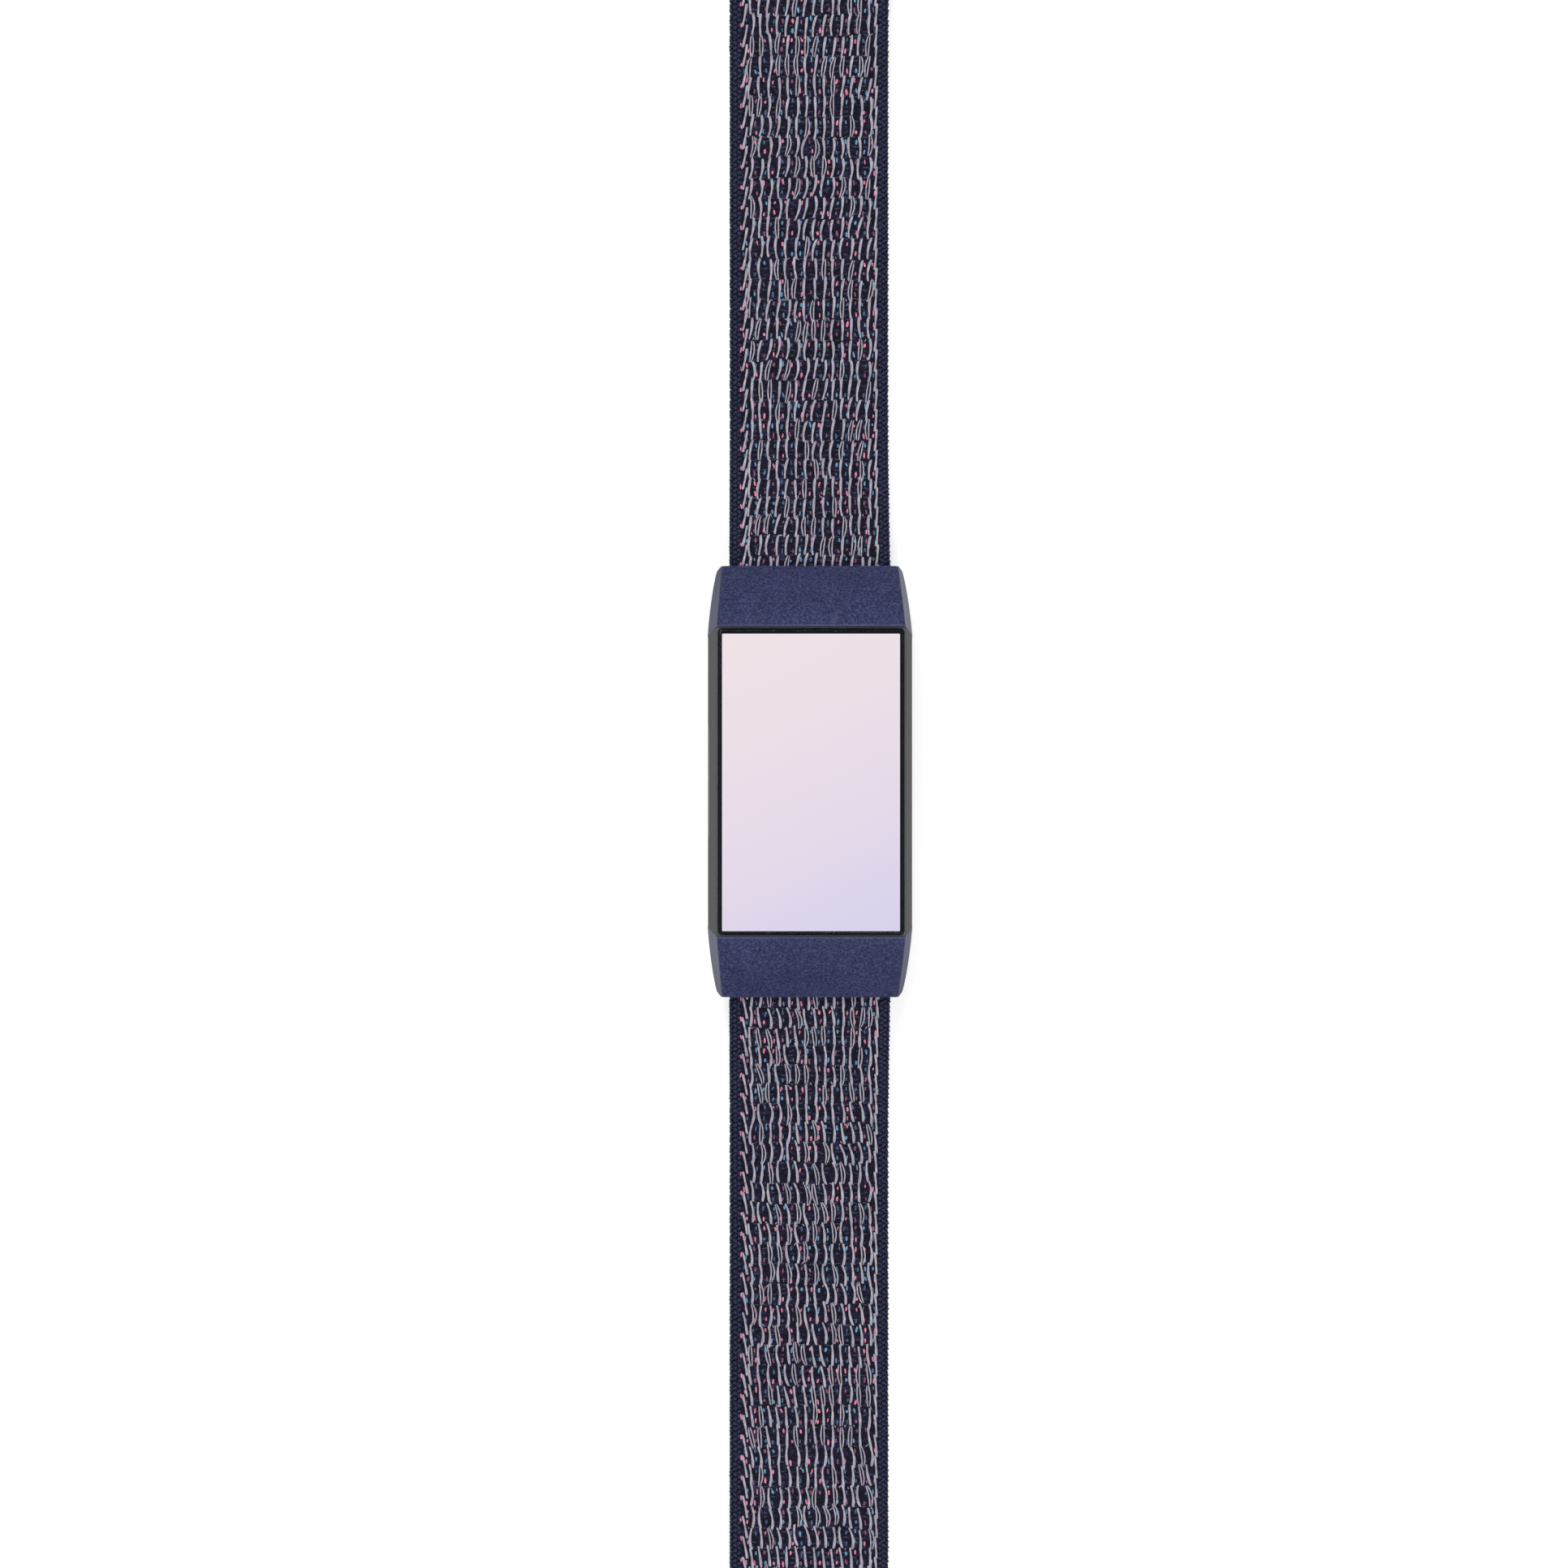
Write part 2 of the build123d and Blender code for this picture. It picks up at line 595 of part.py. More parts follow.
def first_segment():
    """The webbing that goes round the connector's bar and slopes down to the flat run."""
    y, z = PIN_CENTRE
    joint_y = y + PITCH
    slope = atan2(PIN_CENTRE[1] + LOOP_RADIUS - STRAP_THICKNESS, PITCH)
    end = (joint_y - GAP / 2 * cos(slope), STRAP_MIDDLE_Z + GAP / 2 * sin(slope))
    up = (STRAP_MIDDLE_Z * sin(slope), STRAP_MIDDLE_Z * cos(slope))
    outline = [
        (y, z + LOOP_RADIUS),
        (end[0] + up[0], end[1] + up[1]),
        (end[0] - up[0], end[1] - up[1]),
        (y, z - LOOP_RADIUS),
    ]
    solid = side_prism(outline, STRAP_HALF_WIDTH) + cross_bar(PIN_CENTRE, LOOP_RADIUS, STRAP_HALF_WIDTH)
    return solid - cross_bar(PIN_CENTRE, EYE_RADIUS, STRAP_HALF_WIDTH)


def middle_segment(number):
    """A flat run between two bending lines; number counts from the connector."""
    start = PIN_CENTRE[0] + (number - 1) * PITCH
    return webbing(start + GAP / 2, start + PITCH - GAP / 2)


def ring_segment():
    """The last run of the upper band, turned back round the ring's bar."""
    start = PIN_CENTRE[0] + (SEGMENTS - 1) * PITCH + GAP / 2
    y, z = RING_BAR
    outline = [(start, 0), (start, STRAP_THICKNESS), (y, z + RING_LOOP_RADIUS), (y, z - RING_LOOP_RADIUS)]
    solid = side_prism(outline, STRAP_HALF_WIDTH)
    solid += cross_bar(RING_BAR, RING_LOOP_RADIUS, STRAP_HALF_WIDTH)
    return solid - cross_bar(RING_BAR, RING_EYE_RADIUS, STRAP_HALF_WIDTH)


def fold_segment():
    """The last run of the lower band before its tail folds back."""
    start = FOLD_Y - PITCH + GAP / 2
    return webbing(start, FOLD_Y - FOLD_GAP)


def tail_start(number):
    """Where a tail segment's run begins, from its bending line."""
    return FOLD_Y + sum(TAIL_LENGTHS[: number - 1])


def tail_segment(number):
    start = tail_start(number) + (FOLD_GAP if number == 1 else GAP / 2)
    last = number == len(TAIL_LENGTHS)
    end = tail_start(number + 1) - (0 if last else GAP / 2)
    return webbing(start, end)


def buckle_ring():
    """The metal ring: round wire bent to a rectangle, with one bar inside the band's turned end."""
    y, z = RING_BAR
    middle = y + RING_REACH / 2
    path = Pos(0, middle, z) * RectangleRounded(2 * RING_HALF_WIDTH, RING_REACH, RING_CORNER)
    wire = path.wire()
    start = Plane(origin=wire @ 0, z_dir=wire % 0)
    return sweep(start * Circle(RING_WIRE_RADIUS), path=wire)


def tip_tab():
    """The sealed, rounded end of the tail, to pull the band open by."""
    start = tail_start(len(TAIL_LENGTHS) + 1)
    z = (0, TIP_THICKNESS)
    solid = centred_block(STRAP_HALF_WIDTH, (start, start + TIP_LENGTH), z)
    corners = solid.edges().filter_by(Axis.Z).sort_by(Axis.Y)[-2:]
    solid = fillet(corners, TIP_ROUND)
    top = solid.faces().sort_by(Axis.Z)[-1]
    return fillet(top.edges().sort_by(Axis.Y)[1:], CORNER_ROUND)


def hook_patch(number, start_inset):
    """One run of the hook patch on the outer face of a tail segment."""
    start = tail_start(number) + start_inset
    last = number == len(TAIL_LENGTHS)
    end = tail_start(number + 1) - (PATCH_INSET if last else PATCH_JOINT_INSET)
    z = (STRAP_THICKNESS, STRAP_THICKNESS + PATCH_THICKNESS)
    return centred_block(PATCH_HALF_WIDTH, (start, end), z)


def stitch_row(start, end, z):
    """Stitches in a straight line, each its own small solid, from (x, y) to (x, y)."""
    length = hypot(end[0] - start[0], end[1] - start[1])
    turn = degrees(atan2(end[1] - start[1], end[0] - start[0]))
    count = int((length + STITCH_GAP) // (STITCH_LENGTH + STITCH_GAP))
    margin = (length - count * (STITCH_LENGTH + STITCH_GAP) + STITCH_GAP) / 2
    row = []
    for n in range(count):
        along = margin + n * (STITCH_LENGTH + STITCH_GAP) + STITCH_LENGTH / 2
        x = start[0] + cos(radians(turn)) * along
        y = start[1] + sin(radians(turn)) * along
        stitch = Box(STITCH_LENGTH, STITCH_WIDTH, STITCH_HEIGHT)
        row.append(Pos(x, y, z + STITCH_HEIGHT / 2) * Rot(0, 0, turn) * stitch)
    return row


RING_STITCH_Y = (92.0, 93.4)
RING_STITCH_HALF = 8.0
PATCH_STITCH_HALF = 8.3


def ring_stitching():
    """Two rows across the upper band that close its turned end, laid on its sloping outer face."""
    start = PIN_CENTRE[0] + (SEGMENTS - 1) * PITCH + GAP / 2
    y, z = RING_BAR
    slope = atan2(z + RING_LOOP_RADIUS - STRAP_THICKNESS, y - start)
    rows = []
    for row_y in RING_STITCH_Y:
        along = (row_y - start) / cos(slope)
        rows += stitch_row((-RING_STITCH_HALF, along), (RING_STITCH_HALF, along), 0)
    lay = Pos(0, start, STRAP_THICKNESS) * Rot(degrees(slope), 0, 0)
    return [lay * stitch for stitch in rows]


def patch_stitching():
    """Rows along both sides of the hook patch on the last tail segment."""
    last = len(TAIL_LENGTHS)
    start, end = tail_start(last) + GAP / 2, tail_start(last + 1)
    rows = []
    for side in (-1, 1):
        x = side * PATCH_STITCH_HALF
        rows += stitch_row((x, start), (x, end), STRAP_THICKNESS)
    return rows


SUB_PARTS = {
    "case_frame": case_frame,
    "rear_cover": rear_cover,
    "rear_seal": rear_seal,
    "sensor_window": sensor_window,
    "charge_contacts": charge_contacts,
    "vent_membrane": vent_membrane,
    "cover_glass": cover_glass,
    "glass_border": glass_border,
    "display_panel": display_panel,
    "display_backing": display_backing,
    "display_cable": display_cable,
    "inner_chassis": inner_chassis,
    "battery_cell": battery_cell,
    "main_board": main_board,
    "board_chips": board_chips,
    "board_screws": board_screws,
    "antenna_strip": antenna_strip,
    "touch_sensor": touch_sensor,
    "altimeter": altimeter,
    "vibration_motor_can": vibration_motor_can,
    "vibration_motor_rotor": vibration_motor_rotor,
    "sensor_board": sensor_board,
    "sensor_leds": sensor_leds,
    "photodiodes": photodiodes,
    "light_baffles": light_baffles,
    "upper_connector": connector,
    "upper_strap_pin": strap_pin,
    "upper_lever_pin": lever_pin,
    "upper_release_lever": release_lever,
    "upper_lever_spring": lever_spring,
    "lower_connector": lambda: at_lower_end(connector()),
    "lower_strap_pin": lambda: at_lower_end(strap_pin()),
    "lower_lever_pin": lambda: at_lower_end(lever_pin()),
    "lower_release_lever": lambda: at_lower_end(release_lever()),
    "lower_lever_spring": lambda: at_lower_end(lever_spring()),
    "upper_strap_1": first_segment,
    "upper_strap_2": lambda: middle_segment(2),
    "upper_strap_3": lambda: middle_segment(3),
    "upper_strap_4": lambda: middle_segment(4),
    "upper_strap_5": ring_segment,
    "ring_stitching": ring_stitching,
    "buckle_ring": buckle_ring,
    "lower_strap_1": lambda: at_lower_end(first_segment()),
    "lower_strap_2": lambda: at_lower_end(middle_segment(2)),
    "lower_strap_3": lambda: at_lower_end(middle_segment(3)),
    "lower_strap_4": lambda: at_lower_end(middle_segment(4)),
    "lower_strap_5": lambda: at_lower_end(fold_segment()),
    "tail_1": lambda: at_lower_end(tail_segment(1)),
    "tail_2": lambda: at_lower_end(tail_segment(2)),
    "tail_3": lambda: at_lower_end(tail_segment(3)),
    "tail_4": lambda: at_lower_end(tail_segment(4)),
    "tip_tab": lambda: at_lower_end(tip_tab()),
    "hook_patch_inner": lambda: at_lower_end(hook_patch(3, PATCH_START_INSET)),
    "hook_patch_outer": lambda: at_lower_end(hook_patch(4, PATCH_JOINT_INSET)),
    "patch_stitching": lambda: [at_lower_end(stitch) for stitch in patch_stitching()],
}

os.makedirs("parts", exist_ok=True)
for name, build in SUB_PARTS.items():
    built = build()
    shape = Compound(children=[s.solid() for s in built]) if isinstance(built, list) else built
    export_step(shape, f"parts/{name}.step")
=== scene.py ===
"""The looks of a fitness tracker and its woven band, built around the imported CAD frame.

Shapes are worked out in millimetres in the CAD's frame (+X across the band, +Y towards the buckle ring,
+Z out of the display) and go into Blender in metres. The webbing is built from its yarns: a dark ground,
lilac-grey cords that float over it, pink and blue flecks, and knitted edges. It is flat strap, so it is
laid out directly and no cloth simulation is run.
"""

import json
from dataclasses import dataclass
from math import cos, pi, radians, sin

import bmesh
import bpy
import numpy as np
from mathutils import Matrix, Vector


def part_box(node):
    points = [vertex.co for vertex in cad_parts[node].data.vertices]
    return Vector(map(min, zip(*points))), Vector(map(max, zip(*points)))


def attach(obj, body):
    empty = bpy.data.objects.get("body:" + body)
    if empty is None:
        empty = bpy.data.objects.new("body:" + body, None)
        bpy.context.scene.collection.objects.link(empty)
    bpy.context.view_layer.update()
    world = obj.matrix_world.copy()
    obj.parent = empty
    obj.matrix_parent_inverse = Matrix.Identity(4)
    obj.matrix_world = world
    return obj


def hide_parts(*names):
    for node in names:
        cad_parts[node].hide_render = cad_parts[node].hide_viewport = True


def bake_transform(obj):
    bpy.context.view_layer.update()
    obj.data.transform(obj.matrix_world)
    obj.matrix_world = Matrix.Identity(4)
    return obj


MM = 0.001
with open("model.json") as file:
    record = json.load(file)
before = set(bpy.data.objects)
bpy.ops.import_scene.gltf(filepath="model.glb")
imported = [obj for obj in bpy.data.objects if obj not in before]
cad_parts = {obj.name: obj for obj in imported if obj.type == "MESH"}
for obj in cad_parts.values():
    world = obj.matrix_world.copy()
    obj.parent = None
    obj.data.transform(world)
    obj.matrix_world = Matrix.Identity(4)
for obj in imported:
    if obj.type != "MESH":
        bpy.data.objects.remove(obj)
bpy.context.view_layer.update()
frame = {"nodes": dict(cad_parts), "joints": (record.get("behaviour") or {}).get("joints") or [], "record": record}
JOINTS = {joint["name"]: joint for joint in frame["joints"]}


def box_mm(node):
    """A CAD node's lowest and highest corner in millimetres."""
    low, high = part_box(node)
    return np.array(low) / MM, np.array(high) / MM


def pivot_mm(joint):
    """The y and z of a hinge in millimetres, with y counted away from the tracker."""
    _, y, z = JOINTS[joint]["pos_m"]
    return abs(y) / MM, z / MM


# Driving sizes of the band, from the frame
STRAP_LOW, STRAP_HIGH = box_mm("upper_strap_3")
HALF_WIDTH = STRAP_HIGH[0]
THICKNESS = STRAP_HIGH[2] - STRAP_LOW[2]
PIN = pivot_mm("upper_band_hinge")
RING_BAR = pivot_mm("ring_hinge")
CURL_Y = [pivot_mm(f"upper_curl_{n}")[0] for n in range(1, 5)]
FOLD_Y = pivot_mm("tail_fold")[0]
TAIL_Y = [pivot_mm(f"tail_curl_{n}")[0] for n in range(1, 4)]
WEBBING_END = -box_mm("tail_4")[0][1]
PIN_LOOP = (0.87, 2.05)  # inner and outer radius of the webbing round the connector's bar
RING_LOOP = (0.98, 2.04)
FLAP_THICKNESS = 1.45
FLAP_REACH = 12.0  # how far the turned-back ends lie under the webbing
TUCK = 0.9  # how far a run's ground reaches under the next run
TUCK_DEPTH = 0.08
FACE_DROP = 0.22  # the ground lies this far under the webbing's face, so that the cords end at the face

# How far the webbing's curve reaches past a joint, on the side where the next part stays straight
CONNECTOR_BEND = 11.8
CURL_BEND = 7.4
CURL_BEND_AT_FOLD = 6.2
FOLD_BEND = 3.3
TAIL_BEND = 7.8

# Weave
ROW = 1.146  # distance between two rows of flecks
CORD_ROWS = 2  # a cord floats over this many rows
COLUMN = 1.027
INNER_COLUMNS = 14
CORD_HEIGHT = 0.27
EDGE_COLUMN_X = 7.39
PATTERN_SHIFT = 0.1  # the pattern sits a little right of the middle
SELVEDGE_LEFT = 1.45
SELVEDGE_RIGHT = 1.25
KNIT = ROW / 2
FLECK_SHARE = 0.84  # how many of the places for a fleck have one
INNER_FLECK_SHARE = 0.35

# Hook tape
HOOK_ROW = 0.78
HOOK_COLUMN = 0.82
HOOK_REACH = 0.42
TAPE_RISE = 0.22

# Light, in the renderer's own units, and camera, in millimetres
SKY_LIGHT = 0.42
FLOOR_GLOW = 0.42
FLOOR_BOUNCE = 0.55
FLOOR_SIZE = 60  # metres, so that its edge is never seen
SENSOR = 36
CAMERA_DISTANCE = 224.0  # above the height where the case is widest
WIDEST_Z = 6.0
VIEW_WIDTH = 174.05  # how much is seen across the frame at that height
CAMERA_X = -5.5
CAMERA_Y = -0.27
FRAME_X = 2.88  # how far right of the frame's middle the band's middle lies


# Mesh helpers


def link(obj):
    bpy.context.scene.collection.objects.link(obj)
    return obj


def mesh_piece(name, vertices, faces, materials, face_slots=None, sharp=60):
    """A mesh object from millimetre coordinates, smooth but for edges sharper than an angle."""
    mesh = bpy.data.meshes.new(name)
    points = np.asarray(vertices, float) * MM
    mesh.from_pydata(points.tolist(), [], [tuple(int(i) for i in face) for face in faces])
    for material in materials:
        mesh.materials.append(material)
    if face_slots is not None:
        mesh.polygons.foreach_set("material_index", np.asarray(face_slots, np.int32))
    mesh.polygons.foreach_set("use_smooth", [True] * len(mesh.polygons))
    mesh.update()
    mesh.set_sharp_from_angle(angle=radians(sharp))
    mesh.validate()
    return link(bpy.data.objects.new(name, mesh))


def outward(vertices, faces):
    """The faces, turned over if they face into the closed shapes they bound."""
    corners = np.asarray(vertices)[np.asarray(faces)[:, :3]]
    extra = np.asarray(vertices)[np.asarray(faces)[:, -1]]
    volume = np.einsum("ij,ij->i", corners[:, 0], np.cross(corners[:, 1], corners[:, 2])).sum()
    volume += np.einsum("ij,ij->i", corners[:, 0], np.cross(corners[:, 2], extra)).sum()
    return faces if volume > 0 else faces[:, ::-1]


def repeated(shapes, faces):
    """Joins many copies of one template: shapes is (count, points, 3), faces is the template's."""
    count, points, _ = shapes.shape
    offsets = (np.arange(count) * points)[:, None, None]
    return shapes.reshape(-1, 3), (faces[None] + offsets).reshape(-1, faces.shape[1])


def polygons(faces):
    """Quads as lists, with doubled corners dropped."""
    return [list(dict.fromkeys(face)) for face in np.asarray(faces).tolist()]


def ellipsoid_template(sides=7, rings=4):
    """Unit ellipsoid points and quad faces; the poles are tiny rings, so every face is a quad."""
    polar = np.linspace(0.12, pi - 0.12, rings)
    turn = np.arange(sides) / sides * 2 * pi
    points = [[cos(a) * sin(p), sin(a) * sin(p), cos(p)] for p in polar for a in turn]
    return np.array(points), tube_faces(rings, sides)


def tube_faces(rings, sides):
    """Quads along a tube of rings, closed at both ends by fans of quads."""
    faces = []
    for r in range(rings - 1):
        for k in range(sides):
            nxt = (k + 1) % sides
            faces.append([r * sides + k, r * sides + nxt, (r + 1) * sides + nxt, (r + 1) * sides + k])
    for ring, flip in ((0, True), (rings - 1, False)):
        first = ring * sides
        for k in range(1, sides - 1):
            cap = [first, first + k, first + k + 1, first + k + 1]
            faces.append(cap[::-1] if flip else cap)
    return np.array(faces)


# Webbing as a strip along its centre line


def eased(distance, width):
    """0 below a corner and distance above it, with the corner rounded over a width."""
    return 0.5 * (distance + np.sqrt(distance**2 + width**2))


def arc(centre, radius, start, end, step=10):
    """Points (y, z) on an arc between two angles in degrees."""
    count = max(2, int(abs(end - start) / step) + 1)
    angles = np.radians(np.linspace(start, end, count))
    return [(centre[0] + radius * cos(a), centre[1] + radius * sin(a)) for a in angles]


class Strip:
    """A webbing as its centre line (y, z), thickness and facing, from one turned-back end to the other."""

    def __init__(self, line, side):
        line = np.array(line)
        step = 0.1
        along = np.concatenate(([0], np.cumsum(np.hypot(*np.diff(line[:, :2], axis=0).T))))
        self.s = np.arange(0, along[-1], step)
        smooth = np.array([np.interp(self.s, along, line[:, k]) for k in range(3)])
        kernel = np.hanning(11)
        kernel /= kernel.sum()
        pad = len(kernel) // 2
        for k in range(3):
            padded = np.pad(smooth[k], pad, mode="reflect", reflect_type="odd")
            smooth[k] = np.convolve(padded, kernel, mode="valid")
        self.y, self.z, self.thickness = smooth
        tangent = np.gradient(np.array([self.y, self.z]), axis=1)
        tangent /= np.hypot(*tangent)
        self.normal = np.array([-tangent[1], tangent[0]])
        self.side = side
        self.length = self.s[-1]

    def main_s(self, y):
        """Where along the strip its main run passes y."""
        run = self.normal[1] > 0.5
        return float(np.interp(y, self.y[run], self.s[run]))

    def place(self, s, x, lift, face=1):
        """Points at a distance along the strip, x across it, and lift above its outer or inner face."""
        s, x, lift = np.broadcast_arrays(s, x, lift)
        half = np.interp(s, self.s, self.thickness) / 2
        height = face * (half + lift)
        y = np.interp(s, self.s, self.y) + np.interp(s, self.s, self.normal[0]) * height
        z = np.interp(s, self.s, self.z) + np.interp(s, self.s, self.normal[1]) * height
        return np.stack([x, self.side * y, z], axis=-1)


def connector_end():
    """The line from the flap under the webbing, round the connector's bar, and down to the flat run."""
    joint = CURL_Y[0]
    pitch = joint - PIN[0]
    middle = sum(PIN_LOOP) / 2
    loop_thickness = PIN_LOOP[1] - PIN_LOOP[0]
    top_slope = (PIN[1] + PIN_LOOP[1] - THICKNESS) / pitch
    low_slope = (PIN[1] - PIN_LOOP[1]) / pitch

    def top(y):
        return THICKNESS + top_slope * eased(joint - y, 3.0)

    def low(y):
        return low_slope * eased(joint - y, 3.0)

    def main_thickness(y):
        return float(np.interp(y, [PIN[0], PIN[0] + 6.5], [loop_thickness, THICKNESS]))

    flap = []
    for y in np.linspace(PIN[0] + FLAP_REACH, PIN[0] + 0.6, 24):
        room = top(y) - main_thickness(y) - low(y)
        limit = np.interp(y, [PIN[0] + 1, PIN[0] + 5], [loop_thickness, FLAP_THICKNESS])
        thickness = min(limit, room)
        flap.append((y, low(y) + thickness / 2, thickness))
    turn = [(y, z, loop_thickness) for y, z in arc(PIN, middle, -98, -256)]
    run = []
    for y in np.linspace(PIN[0] + 0.8, joint + 8, 40):
        thickness = main_thickness(y)
        run.append((y, top(y) - thickness / 2, thickness))
    return flap + turn + run


def ring_end():
    """The line from the flat run up over the ring's bar and back under as a flap."""
    start = CURL_Y[3]
    middle = sum(RING_LOOP) / 2
    loop_thickness = RING_LOOP[1] - RING_LOOP[0]
    rise = (RING_BAR[1] + RING_LOOP[1] - THICKNESS) / (RING_BAR[0] - start)

    def top(y):
        return THICKNESS + rise * eased(y - start, 3.0)

    def main_thickness(y):
        return float(np.interp(y, [RING_BAR[0] - 8, RING_BAR[0]], [THICKNESS * 0.85, loop_thickness]))

    run = []
    for y in np.linspace(start - 6, RING_BAR[0] - 0.8, 40):
        thickness = np.interp(y, [start, RING_BAR[0] - 8], [THICKNESS, main_thickness(y)])
        run.append((y, top(y) - thickness / 2, thickness))
    turn = [(y, z, loop_thickness) for y, z in arc(RING_BAR, middle, 82, -86)]
    flap = []
    for y in np.linspace(RING_BAR[0] - 0.8, RING_BAR[0] - FLAP_REACH, 24):
        room = top(y) - main_thickness(y)
        thickness = max(0.5, min(1.2, room))
        flap.append((y, thickness / 2, thickness))
    return run + turn + flap


def flat_run(start, end):
    return [(y, THICKNESS / 2, THICKNESS) for y in np.arange(start, end, 1.0)]


def upper_strip():
    line = connector_end()
    line += flat_run(line[-1][0] + 0.5, CURL_Y[3] - 6.5)
    return Strip(line + ring_end(), 1)


def lower_strip():
    line = connector_end()
    line += flat_run(line[-1][0] + 0.5, WEBBING_END)
    return Strip(line + [(WEBBING_END, THICKNESS / 2, THICKNESS)], -1)


def edge_shape(x):
    """How much of the half thickness is left at x: full in the middle, rounded at the knitted edges."""
    rounding = 0.85
    reach = np.clip((np.abs(x) - (HALF_WIDTH - rounding)) / rounding, 0, 1)
    return np.sqrt(np.clip(1 - reach**2, 0.02, 1))


def ground_mesh(strip, start, end, tuck_before, tuck_after):
    """The dark ground between two places along a strip: a closed slab with the weave's fine ribs.
    A tucked end reaches a little lower under the next run, so that bending opens no gap."""
    count = max(2, int(round((end - start) / (ROW / 4))))
    before = [start - TUCK] * tuck_before
    after = [end + TUCK] * tuck_after
    stations = np.concatenate([before, np.linspace(start, end, count + 1), after])
    sink = np.where((stations < start) | (stations > end), TUCK_DEPTH, 0.0)
    edge = HALF_WIDTH - 0.1
    inner = np.linspace(-edge + 1.0, edge - 1.0, 33)
    rim = np.array([0, 0.06, 0.2, 0.45, 0.75])
    across = np.concatenate([-edge + rim, inner, (edge - rim)[::-1]])
    s, x = np.meshgrid(stations, across, indexing="ij")
    half = np.interp(s, strip.s, strip.thickness) / 2
    wave = 0.035 * np.sin(2 * pi * s / (ROW / 2)) * np.cos(2 * pi * x / COLUMN)
    lift = -FACE_DROP + wave * (np.abs(x) < edge - 1.0) - sink[:, None]
    sheets = [strip.place(s, x, (half + lift) * edge_shape(x) - half, face) for face in (1, -1)]
    columns = len(across)
    rows = len(stations)
    vertices = np.concatenate([sheet.reshape(-1, 3) for sheet in sheets])
    second = rows * columns
    faces = []
    for i in range(rows - 1):
        for j in range(columns - 1):
            a = i * columns + j
            quad = [a, a + 1, a + columns + 1, a + columns]
            faces.append(quad)
            faces.append([second + k for k in quad[::-1]])
        for j in (0, columns - 1):
            a = i * columns + j
            quad = [a, a + columns, second + a + columns, second + a]
            faces.append(quad if j == 0 else quad[::-1])
    for i in (0, rows - 1):
        for j in range(columns - 1):
            a = i * columns + j
            quad = [a, second + a, second + a + 1, a + 1]
            faces.append(quad if i == 0 else quad[::-1])
    return vertices, outward(vertices, np.array(faces))


# Yarns: every yarn is laid out in strip coordinates (along, across, lift) and then placed


def laid(strip, shapes, face):
    """Places yarn points given as (along, across, lift) on a face of the strip."""
    return strip.place(shapes[..., 0], shapes[..., 1], shapes[..., 2], face)


def cord_shapes(path, width, height, sides=6):
    """Tubes round many paths: path is (count, stations, 3), width and height are (count, stations)."""
    step = np.gradient(path, axis=1)
    length = np.hypot(step[..., 0], step[..., 1])
    across = np.stack([-step[..., 1] / length, step[..., 0] / length], axis=-1)
    turn = np.arange(sides) / sides * 2 * pi
    sideways = width[..., None] / 2 * np.cos(turn)
    upwards = height[..., None] / 2 * np.sin(turn)
    points = np.repeat(path[:, :, None, :], sides, axis=2)
    points[..., 0] += across[..., None, 0] * sideways
    points[..., 1] += across[..., None, 1] * sideways
    points[..., 2] += upwards
    return points.reshape(path.shape[0], path.shape[1] * sides, 3), tube_faces(path.shape[1], sides)


def column_places():
    """x of the inner cord columns."""
    first = -(INNER_COLUMNS - 1) / 2 * COLUMN
    return PATTERN_SHIFT + first + np.arange(INNER_COLUMNS) * COLUMN


def float_path(along, across, lift):
    """The centre line of a cord whose top reaches lift."""
    return np.stack([along, across, lift - CORD_HEIGHT / 2], axis=-1)


